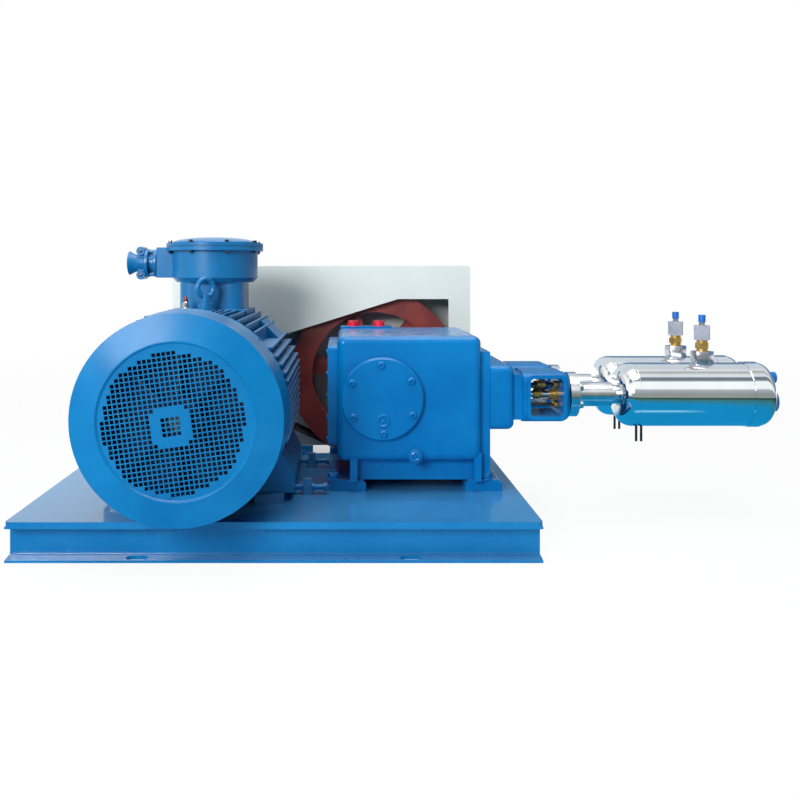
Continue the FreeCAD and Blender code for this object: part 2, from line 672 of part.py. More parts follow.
# Terminal box, gland and lifting eye
def terminal_box():
    neck = new_body("terminalNeck")
    sketch = new_sketch(neck, "XY_Plane")
    rectangle(sketch, -d.neckWidth / 2, d.neckWidth / 2, -d.neckDepth / 2, d.neckDepth / 2)
    pad(neck, sketch, d.neckHeight)
    dress(neck, "Fillet", d.neckCorner, lambda edge: along(edge, Z))
    locate(neck, boxX, d.saddleCentreY, saddleTop)
    flare = doc.addObject("Part::Cone", "neckFlare")
    bind(flare, "Radius1", d.boxRadius - d.neckFlare)
    bind(flare, "Radius2", d.boxRadius)
    bind(flare, "Height", d.neckFlare)
    locate(flare, boxX, d.saddleCentreY, neckTop - d.neckFlare)
    sub_part(fuse("terminalBoxNeck", [neck, flare]), "terminal_box_neck")
    drum = cylinder("boxDrum", d.boxRadius, d.boxHeight, (boxX, d.saddleCentreY, neckTop))
    flange = cylinder("boxFlange", d.boxFlangeRadius, d.boxFlangeThick,
                      (boxX, d.saddleCentreY, boxTop - d.boxFlangeThick))
    entry = box("boxEntry", (d.entryReach, d.entryWidth, d.entryHeight),
                (boxX - d.entryReach, d.saddleCentreY - d.entryWidth / 2, neckTop))
    hollow = cylinder("boxHollow", d.boxRadius - d.boxWall, d.boxHeight,
                      (boxX, d.saddleCentreY, neckTop + d.boxWall))
    housing = cut("terminalHousing", fuse("boxCasting", [drum, flange, entry]), [hollow])
    sub_part(housing, "terminal_box")
    rim = cylinder("lidRim", d.boxFlangeRadius, d.lidThick, (boxX, d.saddleCentreY, boxTop))
    dome = doc.addObject("Part::Ellipsoid", "lidDome")
    bind(dome, "Radius1", d.lidDomeRise)
    bind(dome, "Radius2", d.lidDomeRadius)
    bind(dome, "Radius3", d.lidDomeRadius)
    dome.Angle1 = 0
    locate(dome, boxX, d.saddleCentreY, boxTop + d.lidThick)
    sub_part(fuse("boxLid", [rim, dome]), "terminal_box_lid")


def cable_gland():
    """Flared bell mouth, clamp with two ears, collar and hexagon, bored for the cable."""
    y, z = d.saddleCentreY, neckTop + d.entryAxis
    seat = boxX - d.entryReach
    mouth = seat - d.glandReach
    clamp_left = mouth + d.glandBellLength
    clamp_right = clamp_left + d.glandClampWidth
    bell = doc.addObject("Part::Cone", "glandBell")
    bind(bell, "Radius1", d.glandBell)
    bind(bell, "Radius2", d.glandRadius)
    bind(bell, "Height", d.glandBellLength)
    bell.Placement.Rotation = AXES["+X"]
    locate(bell, mouth, y, z)
    pieces = [bell,
              hexagon("glandHex", d.glandHexWidth, d.glandHexLength, (seat, y, z), "-X"),
              cylinder("glandBarrel", d.glandBarrel, seat - clamp_right, (seat, y, z), "-X"),
              cylinder("glandCollar", d.glandCollar, d.glandCollarWidth, (clamp_right, y, z), "+X"),
              box("glandClamp", (d.glandClampWidth, d.glandRadius * 2, d.glandEarReach * 2),
                  (clamp_left, y - d.glandRadius, z - d.glandEarReach))]
    bore = cylinder("glandBore", d.glandBore, d.glandReach + d.cutMargin * 2,
                    (seat + d.cutMargin, y, z), "-X")
    sub_part(cut("cableGland", fuse("glandCasting", pieces), [bore]), "cable_gland")


def lifting_eye():
    collar = cylinder("eyeCollar", d.eyeCollar, d.eyeShank / 2, (d.motorX, d.eyeY, saddleTop))
    shank = cylinder("eyeShank", d.eyeStem, d.eyeShank + d.eyeWire, (d.motorX, d.eyeY, saddleTop))
    ring = doc.addObject("Part::Torus", "eyeRing")
    bind(ring, "Radius1", d.eyeRing)
    bind(ring, "Radius2", d.eyeWire)
    ring.Placement.Rotation = Rotation(Z, plain(d.eyeTurn)).multiply(AXES["+Y"])
    locate(ring, d.motorX, d.eyeY, saddleTop + d.eyeShank + d.eyeRing)
    sub_part(fuse("liftingEye", [collar, shank, ring]), "lifting_eye")


terminal_box()
cable_gland()
lifting_eye()


# Belt drive
def groove_points(radius, centre):
    """A V groove's four corners in a rim's profile, from its front edge to its rear one."""
    floor = radius - d.grooveDepth
    return [(radius, centre - d.grooveTop / 2), (floor, centre - d.grooveFloor / 2),
            (floor, centre + d.grooveFloor / 2), (radius, centre + d.grooveTop / 2)]


def groove_centres():
    count = int(plain(d.grooves))
    middle = flywheelFront + d.flywheelWidth / 2
    return [middle + d.groovePitch * (index - (count - 1) / 2) for index in range(count)]


def grooved_rim(body, inner, radius):
    sketch = new_sketch(body, "XY_Plane")
    points = [(inner, flywheelFront), (radius, flywheelFront)]
    for centre in groove_centres():
        points += groove_points(radius, centre)
    points += [(radius, flywheelRear), (inner, flywheelRear)]
    polygon(sketch, points)
    revolve(body, sketch, "V_Axis")
    return sketch


def motor_pulley():
    body = new_body("motor_pulley")
    grooved_rim(body, d.shaftRadius + d.seatGap, d.pulleyRadius)
    locate(body, d.motorX, 0, motorZ)
    sub_part(body, "motor_pulley")


def flywheel():
    body = new_body("flywheel")
    hub = new_sketch(body, "XY_Plane")
    bore = d.crankRadius + d.seatGap
    polygon(hub, [(bore, flywheelFront), (d.flywheelHub, flywheelFront),
                  (d.flywheelHub, flywheelRear), (bore, flywheelRear)])
    revolve(body, hub, "V_Axis")
    spoke = new_sketch(body, "XY_Plane")
    middle = (flywheelFront + flywheelRear) / 2
    inner, outer = d.flywheelHub - d.cutMargin, d.rimInner + d.cutMargin
    polygon(spoke, [(inner, middle - d.spokeRoot / 2), (outer, middle - d.spokeTip / 2),
                    (outer, middle + d.spokeTip / 2), (inner, middle + d.spokeRoot / 2)])
    feature = pad(body, spoke, d.spokeWidth, both_ways=True)
    polar(body, feature, hub, d.spokes, "V_Axis")
    grooved_rim(body, d.rimInner, d.flywheelRadius)
    body.Placement.Rotation = Rotation(Y, -plain(d.spokeTurn))
    locate(body, crankX, 0, crankAxisZ)
    sub_part(body, "flywheel")


def crankshaft():
    start = crankRear - d.crankInset
    sub_part(cylinder("crankshaft", d.crankRadius, flywheelRear + d.crankStub - start,
                      (crankX, start, crankAxisZ), "+Y"), "crankshaft")


def belt_loop(centre, drop_small, drop_large, half_width):
    """The closed line that a belt follows round both wheels, as a flat face."""
    small = plain(d.pulleyRadius) + drop_small
    large = plain(d.flywheelRadius) + drop_large
    start = Vector(plain(d.motorX), 0, plain(motorZ))
    end = Vector(plain(crankX), 0, plain(crankAxisZ))
    span = end - start
    lean = math.acos((small - large) / span.Length)
    tilt = math.atan2(span.z, span.x)

    def rim_point(middle, radius, angle):
        return middle + Vector(math.cos(angle) * radius, 0, math.sin(angle) * radius)

    high, low = tilt + lean, tilt - lean
    small_high, small_low = rim_point(start, small, high), rim_point(start, small, low)
    large_high, large_low = rim_point(end, large, high), rim_point(end, large, low)
    small_far = rim_point(start, small, tilt + math.pi)
    large_far = rim_point(end, large, tilt)
    wire = Part.Wire([Part.Arc(small_low, small_far, small_high).toShape(),
                      Part.LineSegment(small_high, large_high).toShape(),
                      Part.Arc(large_high, large_far, large_low).toShape(),
                      Part.LineSegment(large_low, small_low).toShape()])
    wire.translate(Vector(0, centre + half_width, 0))
    return wire


def drive_belts():
    """V belts that ride in the grooves, each lofted between its section's corner lines."""
    sink, thick = plain(d.beltSink), plain(d.beltThick)
    loops = []
    for centre in groove_centres():
        corners = [(-sink, -plain(d.beltTop) / 2), (-sink, plain(d.beltTop) / 2),
                   (-sink - thick, plain(d.beltFloor) / 2), (-sink - thick, -plain(d.beltFloor) / 2)]
        rings = [belt_loop(plain(centre), drop, drop, across) for drop, across in corners]
        faces = []
        for index in range(4):
            faces += Part.makeLoft([rings[index], rings[(index + 1) % 4]], False, True).Faces
        loops.append(Part.Solid(Part.Shell(faces)))
    belts = doc.addObject("Part::Feature", "driveBelts")
    belts.Shape = Part.Compound(loops)
    sub_part(belts, "drive_belts")


motor_pulley()
flywheel()
crankshaft()
drive_belts()


# Belt guard
def guard_corners(body, top, size):
    """Rounds the upper corners of a guard sheet at one level."""
    dress(body, "Fillet", size, lambda edge: along(edge, Y) and near(edge.BoundBox.ZMax, top))


def belt_guard():
    left = d.motorX - d.guardReachLeft
    right = crankRight + d.guardReachRight
    body = new_body("belt_guard_front")
    sketch = new_sketch(body, "XZ_Plane")
    inner_left = left + d.guardLegLeft
    inner_right = right - d.guardLegRight
    polygon(sketch, [(left, d.guardFoot), (left, d.guardTop), (right, d.guardTop),
                     (right, d.guardFoot), (inner_right, d.guardFoot), (inner_right, d.openingTop),
                     (inner_right - d.openingKnee, d.openingTop),
                     (inner_left, d.openingTop - d.openingDrop), (inner_left, d.guardFoot)])
    pad(body, sketch, d.guardSheet, backwards=True)
    guard_corners(body, d.guardTop, d.guardCorner)
    locate(body, 0, guardFace, 0)
    sub_part(body, "belt_guard_front")
    back = new_body("belt_guard_back")
    sketch = new_sketch(back, "XZ_Plane")
    rectangle(sketch, left, right, d.guardBackFoot, d.guardTop)
    pad(back, sketch, d.guardSheet, backwards=True)
    guard_corners(back, d.guardTop, d.guardCorner)
    locate(back, 0, guardFace + d.guardDepth - d.guardSheet, 0)
    sub_part(back, "belt_guard_back")
    rim = new_body("belt_guard_rim")
    sketch = new_sketch(rim, "XZ_Plane")
    foot, roof = d.guardBackFoot, d.guardTop - d.guardSheet
    polygon(sketch, [(left, foot), (left, d.guardTop), (right, d.guardTop), (right, foot),
                     (right - d.guardSheet, foot), (right - d.guardSheet, roof),
                     (left + d.guardSheet, roof), (left + d.guardSheet, foot)])
    pad(rim, sketch, d.guardDepth - d.guardSheet * 2, backwards=True)
    guard_corners(rim, d.guardTop, d.guardCorner)
    guard_corners(rim, roof, d.guardCorner - d.guardSheet)
    locate(rim, 0, guardFace + d.guardSheet, 0)
    sub_part(rim, "belt_guard_rim")


belt_guard()


# Crankcase
def crankcase():
    block = new_body("crankcaseBlock")
    sketch = new_sketch(block, "XY_Plane", crankBottom)
    rectangle(sketch, crankLeft, crankRight, d.crankFront, crankRear)
    pad(block, sketch, d.crankHeight)
    dress(block, "Fillet", d.crankCorner, lambda edge: True)
    foot_top = deckTop + d.crankFootThick
    panel = new_body("pedestalPanel")
    sketch = new_sketch(panel, "XZ_Plane")
    panel_left = crankLeft + d.legLeftInset
    rectangle(sketch, panel_left, crankRight, crankBottom - d.panelDrop, crankBottom + d.crankCorner)
    pad(panel, sketch, d.crankDepth - d.pedestalInset * 2, backwards=True)
    dress(panel, "Fillet", d.panelCorner,
          lambda edge: along(edge, Y) and near(edge.BoundBox.ZMin, crankBottom - d.panelDrop))
    locate(panel, 0, d.crankFront + d.pedestalInset, 0)
    pieces = [block, panel]
    leg_depth = d.crankDepth - d.legFront * 2
    for number, x in enumerate((panel_left, crankRight - d.legWidth)):
        pieces.append(box("leg%d" % number, (d.legWidth, leg_depth, crankBottom + d.crankCorner - foot_top),
                          (x, d.crankFront + d.legFront, foot_top)))
    foot_depth = d.crankDepth - d.crankFootInset * 2
    for number, x in enumerate((crankLeft - d.crankFootLeft,
                                crankRight + d.crankFootRight - d.crankFootWidth)):
        rail = new_body("footRail%d" % number)
        sketch = new_sketch(rail, "XZ_Plane")
        rectangle(sketch, x, x + d.crankFootWidth, deckTop, foot_top)
        pad(rail, sketch, foot_depth, backwards=True)
        dress(rail, "Chamfer", d.crankFootCorner,
              lambda edge: along(edge, Y) and near(edge.BoundBox.ZMax, foot_top))
        pieces.append(locate(rail, 0, d.crankFront + d.crankFootInset, 0))
    pieces.append(box("ventPad", (d.ventPadLength, crankRear - d.crankCorner - d.ventPadFront,
                                  d.ventPadRise + d.cutMargin),
                      (crankLeft + d.ventPadInset, d.ventPadFront, crankTop - d.cutMargin)))
    pieces.append(cylinder("drainBoss", d.drainRadius, d.drainReach + d.cutMargin,
                           (crankX + d.drainOffset, d.crankFront + d.cutMargin,
                            crankBottom + d.drainRise), "-Y"))
    start = crankRear - d.crankInset - d.cutMargin
    bore = cylinder("crankBore", d.crankRadius + d.runningGap, crankRear + d.cutMargin - start,
                    (crankX, start, crankAxisZ), "+Y")
    sub_part(cut("crankcaseCasting", fuse("crankcaseWhole", pieces), [bore]), "crankcase")


def front_cover():
    body = new_body("crankcase_front_cover")
    sketch = new_sketch(body, "XZ_Plane")
    circle(sketch, 0, 0, d.frontCoverRadius)
    pad(body, sketch, d.frontCoverThick)
    dress(body, "Chamfer", d.frontCoverBevel, lambda edge: near(edge.BoundBox.YMax, -d.frontCoverThick))
    locate(body, crankX, d.crankFront, crankAxisZ)
    sub_part(body, "crankcase_front_cover")


def side_cover():
    body = new_body("crankcase_side_cover")
    sketch = new_sketch(body, "YZ_Plane", crankLeft)
    rectangle(sketch, d.crankFront + d.sideCoverInset, crankRear - d.sideCoverInset,
              crankBottom + d.sideCoverBottom, crankTop - d.sideCoverTop)
    pad(body, sketch, d.sideCoverThick, backwards=True)
    dress(body, "Fillet", d.sideCoverCorner, lambda edge: along(edge, X))
    sub_part(body, "crankcase_side_cover")


def bearing_housing():
    body = new_body("bearing_housing")
    sketch = new_sketch(body, "XY_Plane")
    bore = d.crankRadius + d.runningGap
    start, tip = crankRear, crankRear + d.bearingThick
    polygon(sketch, [(bore, start), (d.bearingRadius, start), (d.bearingRadius, start + d.bearingEdge),
                     (d.bearingNeck, start + d.bearingStep), (d.bearingTip, tip), (bore, tip)])
    revolve(body, sketch, "V_Axis")
    locate(body, crankX, 0, crankAxisZ)
    sub_part(body, "bearing_housing")


def breather_caps():
    y = (d.ventPadFront + crankRear - d.crankCorner) / 2
    caps = [cylinder("ventCap%d" % index, d.ventRadius, d.ventHeight,
                     (crankLeft + d.ventPadInset + d.ventInset + d.ventSpacing * index, y,
                      crankTop + d.ventPadRise))
            for index in range(2)]
    sub_part(group("breatherCaps", caps), "breather_caps")


def jack_screws():
    blocks, screws = [], []
    foot_edge = d.motorX + d.footHalfWidth
    x = foot_edge + d.jackClearance
    z = deckTop + d.jackAxis
    tip = foot_edge + d.seatGap
    end = x + d.jackReach
    for index in range(2):
        y = d.jackFront + d.jackSpacing * index
        plate = box("jackPlate%d" % index, (d.jackThick, d.jackDepth, d.jackHeight),
                    (x, y - d.jackDepth / 2, deckTop))
        hole = cylinder("jackHole%d" % index, d.jackScrewRadius + d.seatGap, d.jackThick + d.cutMargin * 2,
                        (x - d.cutMargin, y, z), "+X")
        blocks.append(cut("jackBlock%d" % index, plate, [hole]))
        shank = cylinder("jackShank%d" % index, d.jackScrewRadius, end - tip, (tip, y, z), "+X")
        head = hexagon("jackHead%d" % index, d.jackHead, d.jackHeadLength,
                       (end - d.jackHeadLength, y, z), "+X")
        screws.append(fuse("jackScrew%d" % index, [shank, head]))
    sub_part(group("jackBlocks", blocks), "jack_blocks")
    sub_part(group("jackScrews", screws), "jack_screws")


crankcase()
front_cover()
side_cover()
bearing_housing()
breather_caps()
jack_screws()

# Crosshead block and lantern housings
frontCylinderY = d.crankFront + d.cylinderFront
rearCylinderY = frontCylinderY + d.cylinderSpacing
pairMiddleY = frontCylinderY + d.cylinderSpacing / 2
crossLeft = crankRight + d.crossFlangeThick
crossRight = crossLeft + d.crossLength
lanternLeft = crossRight + d.stepLength
lanternRight = lanternLeft + d.lanternLength
windowMiddle = (lanternLeft + lanternRight) / 2 - d.windowShift
windowLeft = windowMiddle - d.windowLength / 2
windowRight = windowMiddle + d.windowLength / 2
vesselFace = lanternRight + d.endFlangeThick + d.neckLength + d.collarLength
vesselEnd = vesselFace + d.vesselLength
cylinders = (("front", frontCylinderY), ("rear", rearCylinderY))


def crosshead():
    low = crankBottom - d.crossFlangeBottom
    flange = box("crossheadFlange", (d.crossFlangeThick, d.crankDepth - d.crossFlangeInset * 2,
                                     crankTop - d.crossFlangeTop - low),
                 (crankRight, d.crankFront + d.crossFlangeInset, low))
    sub_part(flange, "crosshead_flange")
    body = new_body("crosshead_block")
    sketch = new_sketch(body, "YZ_Plane", crossLeft)
    rectangle(sketch, pairMiddleY - d.crossHalfDepth, pairMiddleY + d.crossHalfDepth,
              crankAxisZ - d.crossHeight / 2, crankAxisZ + d.crossHeight / 2)
    pad(body, sketch, d.crossLength)
    dress(body, "Fillet", d.crossCorner,
          lambda edge: along(edge, X) or near(edge.BoundBox.XMin, crossRight))
    sub_part(body, "crosshead_block")


def lantern(side, y):
    """A hollow housing with a framed, rounded window through its front and back."""
    body = new_body("lantern_housing_" + side)
    foot = new_sketch(body, "YZ_Plane", crossRight)
    rectangle(foot, -d.stepSize / 2, d.stepSize / 2, -d.stepSize / 2, d.stepSize / 2)
    pad(body, foot, d.stepLength + d.cutMargin)
    shell = new_sketch(body, "YZ_Plane", lanternLeft)
    rectangle(shell, -d.lanternDepth / 2, d.lanternDepth / 2, -d.lanternHeight / 2, d.lanternHeight / 2)
    pad(body, shell, d.lanternLength)
    dress(body, "Fillet", d.lanternCorner,
          lambda edge: edge.BoundBox.XMax > plain(lanternLeft) + 1 and (
              along(edge, X) or near(edge.BoundBox.XMin, lanternRight)))
    frame = new_sketch(body, "XZ_Plane")
    half = d.windowHeight / 2
    outer = half + d.frameWidth
    rectangle(frame, windowLeft - d.frameWidth, windowRight + d.frameWidth, -outer, outer)
    pad(body, frame, d.lanternDepth + d.frameRise * 2, both_ways=True)
    dress(body, "Fillet", d.frameCorner,
          lambda edge: along(edge, Y) and near(abs(edge.BoundBox.ZMax), outer))
    window = new_sketch(body, "XZ_Plane")
    rectangle(window, windowLeft, windowRight, -half, half)
    pocket(body, window, d.lanternDepth * 2, both_ways=True)
    dress(body, "Fillet", d.windowCorner,
          lambda edge: along(edge, Y) and near(abs(edge.BoundBox.ZMax), half)
          and near(abs(edge.CenterOfMass.x - plain(windowMiddle)), d.windowLength / 2))
    locate(body, 0, y, crankAxisZ)
    sub_part(body, "lantern_housing_" + side)


def rod_parts():
    """Coupling, rod and packing gland of each cylinder, inside the windows."""
    couplings, glands = [], []
    for side, y in cylinders:
        start = (windowLeft, y, crankAxisZ)
        rod = cylinder("rod_" + side, d.rodRadius, d.windowLength, start, "+X")
        nut = hexagon("couplingNut_" + side, d.couplingWidth, d.couplingLength, start, "+X")
        gland = cylinder("packingGland_" + side, d.glandNutRadius, d.glandNutLength,
                         (windowRight, y, crankAxisZ), "-X")
        hole = cylinder("glandHole_" + side, d.rodRadius + d.seatGap, d.glandNutLength + d.cutMargin * 2,
                        (windowRight + d.cutMargin, y, crankAxisZ), "-X")
        couplings.append(fuse("rodCoupling_" + side, [rod, nut]))
        glands.append(cut("gland_" + side, gland, [hole]))
    sub_part(group("rodCouplings", couplings), "rod_couplings")
    sub_part(group("packingGlands", glands), "packing_glands")


crosshead()
for side, y in cylinders:
    lantern(side, y)
rod_parts()


# Cold ends
def end_flange(side, y):
    body = new_body("endFlange_" + side)
    sketch = new_sketch(body, "XY_Plane")
    face = lanternRight + d.endFlangeThick
    neck_end = face + d.neckLength
    polygon(sketch, [(lanternRight, 0), (lanternRight, d.endFlangeRadius), (face, d.endFlangeRadius),
                     (face, d.neckRadius), (neck_end, d.neckRadius), (neck_end, d.collarRadius),
                     (vesselFace, d.collarRadius), (vesselFace, 0)])
    revolve(body, sketch, "H_Axis")
    return locate(body, 0, y, crankAxisZ)


def vessel(side, y):
    """An insulated vessel: a dished face, a rolled shell with a band, and a flat far head."""
    body = new_body("vessel_" + side)
    sketch = new_sketch(body, "XY_Plane")
    shoulder = vesselFace + d.vesselDish
    band_left = vesselFace + d.bandLeft
    band_right = band_left + d.bandLength
    band_radius = d.vesselRadius + d.bandRise
    polygon(sketch, [(vesselFace, 0), (vesselFace, d.collarRadius), (shoulder, d.vesselRadius),
                     (band_left, d.vesselRadius), (band_left, band_radius),
                     (band_right, band_radius), (band_right, d.vesselRadius),
                     (vesselEnd, d.vesselRadius), (vesselEnd, 0)])
    revolve(body, sketch, "H_Axis")
    for place, size in ((shoulder, d.vesselKnuckle), (vesselEnd, d.vesselEndKnuckle)):
        dress(body, "Fillet", size,
              lambda edge: near(edge.BoundBox.XMax, place) and near(edge.BoundBox.XMin, place))
    locate(body, 0, y, crankAxisZ)
    sub_part(body, "vessel_" + side)


def outlet(side, y):
    """Boss, brass fitting, union nut and closed stub above a vessel."""
    at = (vesselFace + d.bossOffset, y)
    boss_top = crankAxisZ + d.bossRise
    fitting_top = boss_top + d.fittingRise
    nut_top = fitting_top + d.nutRise
    boss = cylinder("boss_" + side, d.bossRadius, d.bossRise, at + (crankAxisZ,))
    round_cut = cylinder("bossCut_" + side, d.vesselRadius, d.bossRadius * 4,
                         (vesselFace + d.bossOffset - d.bossRadius * 2, y, crankAxisZ), "+X")
    fitting = fuse("fitting_" + side, [
        cylinder("fittingStem_" + side, d.fittingRadius, d.fittingRise, at + (boss_top,)),
        hexagon("fittingHex_" + side, d.fittingHexWidth, d.fittingHexHeight,
                at + (boss_top + d.fittingHexRise,))])
    nut = hexagon("nut_" + side, d.nutWidth, d.nutRise, at + (fitting_top,))
    cap = fuse("outletCap_" + side, [
        cylinder("stub_" + side, d.stubRadius, d.stubRise, at + (nut_top,)),
        cylinder("cap_" + side, d.capRadius, d.capRise, at + (nut_top + d.stubRise,))])
    return cut("outletBoss_" + side, boss, [round_cut]), fitting, nut, cap


def drain_tubes():
    tubes = []
    low = crankAxisZ - d.drainTubeDrop
    for side, y in cylinders:
        for index in (-1, 1):
            x = vesselFace + d.drainTubeOffset + d.drainTubeSpacing / 2 * index
            tubes.append(cylinder("drainTube_%s%d" % (side, index + 1), d.drainTubeRadius,
                                  d.drainTubeDrop - d.vesselRadius, (x, y, low)))
    sub_part(group("drainTubes", tubes), "drain_tubes")


def nozzles():
    """Two short capped nozzles on each vessel's far head."""
    stems, caps = [], []
    for side, y in cylinders:
        for name, radius, height in (("upper", d.upperCapRadius, d.upperCapRise),
                                     ("lower", d.lowerCapRadius, -d.lowerCapDrop)):
            z = crankAxisZ + height
            stems.append(cylinder("nozzle_%s_%s" % (name, side), radius - d.nozzleWall, d.nozzleLength,
                                  (vesselEnd, y, z), "+X"))
            caps.append(cylinder("nozzleCap_%s_%s" % (name, side), radius, d.nozzleCapLength,
                                 (vesselEnd + d.nozzleLength, y, z), "+X"))
    sub_part(group("nozzleStems", stems), "nozzles")
    sub_part(group("nozzleCaps", caps), "nozzle_caps")


sub_part(group("endFlanges", [end_flange(side, y) for side, y in cylinders]), "end_flanges")
for side, y in cylinders:
    vessel(side, y)
outlets = [outlet(side, y) for side, y in cylinders]
for label, pieces in zip(("outlet_bosses", "brass_fittings", "union_nuts", "outlet_caps"), zip(*outlets)):
    sub_part(group(label.replace("_", ""), list(pieces)), label)
drain_tubes()
nozzles()

# Every piece is checked before any is written
doc.recompute()
for thing in doc.Objects:
    if "Invalid" in thing.State or "Error" in thing.State:
        raise RuntimeError("%s failed: %s" % (thing.Label, thing.State))
for thing in sub_parts:
    if thing.Shape.isNull() or not thing.Shape.isValid() or not thing.Shape.Solids:
        raise RuntimeError("%s has no valid solid" % thing.Label)
os.makedirs("parts", exist_ok=True)
for thing in sub_parts:
    thing.Shape.exportStep("parts/%s.step" % thing.Label)
print("%d sub-parts written" % len(sub_parts))
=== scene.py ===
import math

import bmesh
import bpy
from mathutils import Matrix, Vector


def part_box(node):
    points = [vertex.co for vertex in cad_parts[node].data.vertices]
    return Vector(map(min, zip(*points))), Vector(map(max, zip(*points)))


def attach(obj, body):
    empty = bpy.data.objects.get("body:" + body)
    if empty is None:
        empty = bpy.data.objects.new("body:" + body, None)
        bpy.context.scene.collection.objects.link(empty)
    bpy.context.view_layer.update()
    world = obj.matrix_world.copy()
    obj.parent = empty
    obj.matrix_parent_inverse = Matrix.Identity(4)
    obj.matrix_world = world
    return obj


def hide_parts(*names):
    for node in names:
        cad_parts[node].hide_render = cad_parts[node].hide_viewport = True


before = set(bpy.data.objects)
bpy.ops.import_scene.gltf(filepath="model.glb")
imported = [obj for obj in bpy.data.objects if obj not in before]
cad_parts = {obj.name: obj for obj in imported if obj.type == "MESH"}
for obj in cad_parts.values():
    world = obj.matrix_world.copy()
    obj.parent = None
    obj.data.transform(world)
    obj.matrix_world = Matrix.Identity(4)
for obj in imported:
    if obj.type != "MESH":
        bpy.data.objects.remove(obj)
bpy.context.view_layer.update()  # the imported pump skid, which every piece below rides on
print("frame loaded with", len(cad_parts), "nodes")

mm = 0.001


class Box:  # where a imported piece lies, in millimetres
    def __init__(self, node):
        low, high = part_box(node)
        self.low, self.high = Vector(low) / mm, Vector(high) / mm
        self.mid = (self.low + self.high) / 2


deckBox = Box("deck_plate")
channelBox = Box("front_channel")
coverBox = Box("fan_cover")
grilleBox = Box("fan_grille")
motorBox = Box("motor_frame")
lidBox = Box("terminal_box_lid")
neckBox = Box("terminal_box_neck")
glandBox = Box("cable_gland")
caseBox = Box("crankcase")
faceBox = Box("crankcase_front_cover")
sideBox = Box("crankcase_side_cover")
jackBox = Box("jack_blocks")
crossBox = Box("crosshead_flange")
flangeBox = Box("end_flanges")
rodBox = Box("rod_couplings")
packingBox = Box("packing_glands")
vesselBox = Box("vessel_front")
bossBox = Box("outlet_bosses")
capBox = Box("outlet_caps")

axisSpacing = 167.0  # between the axes of the two cold ends
coldAxes = [flangeBox.mid.y + axisSpacing / 2 * side for side in (-1, 1)]
axisHeight = flangeBox.mid.z


# shader maths and finishes
class Sock:  # one output socket that takes part in Python expressions
    def __init__(self, finish, out):
        self.finish, self.out = finish, out

    def math(self, operation, first, second):
        return self.finish.node("ShaderNodeMath", {"operation": operation}, {0: first, 1: second})

    def __add__(self, other):
        return self.math("ADD", self, other)

    def __radd__(self, other):
        return self.math("ADD", other, self)

    def __sub__(self, other):
        return self.math("SUBTRACT", self, other)

    def __rsub__(self, other):
        return self.math("SUBTRACT", other, self)

    def __mul__(self, other):
        return self.math("MULTIPLY", self, other)

    def __rmul__(self, other):
        return self.math("MULTIPLY", other, self)


def tone(red, green, blue):  # a colour as the eye names it, made linear
    shares = [level / 255 for level in (red, green, blue)]
    return tuple(share / 12.92 if share <= 0.04045 else ((share + 0.055) / 1.055) ** 2.4
                 for share in shares) + (1.0,)


# how every finish varies: pairs are the noise values between which it changes, details are the
# noise's detail, with its roughness where there are two
surface = {"patch": (0.35, 0.65), "roughBand": (0.3, 0.7), "paintRough": (-0.03, 0.05),
           "mouldedRough": (-0.04, 0.06), "lineShare": 0.6, "dustAndSheenFacing": (0.6, 1.0),
           "dustAndSheenPatch": (0.25, 0.75, 0.6, 1.0), "dustAndSheenRough": 0.2, "cloudDetail": 4.0,
           "softDetail": 2.0, "fineDetail": (3.0, 0.6)}


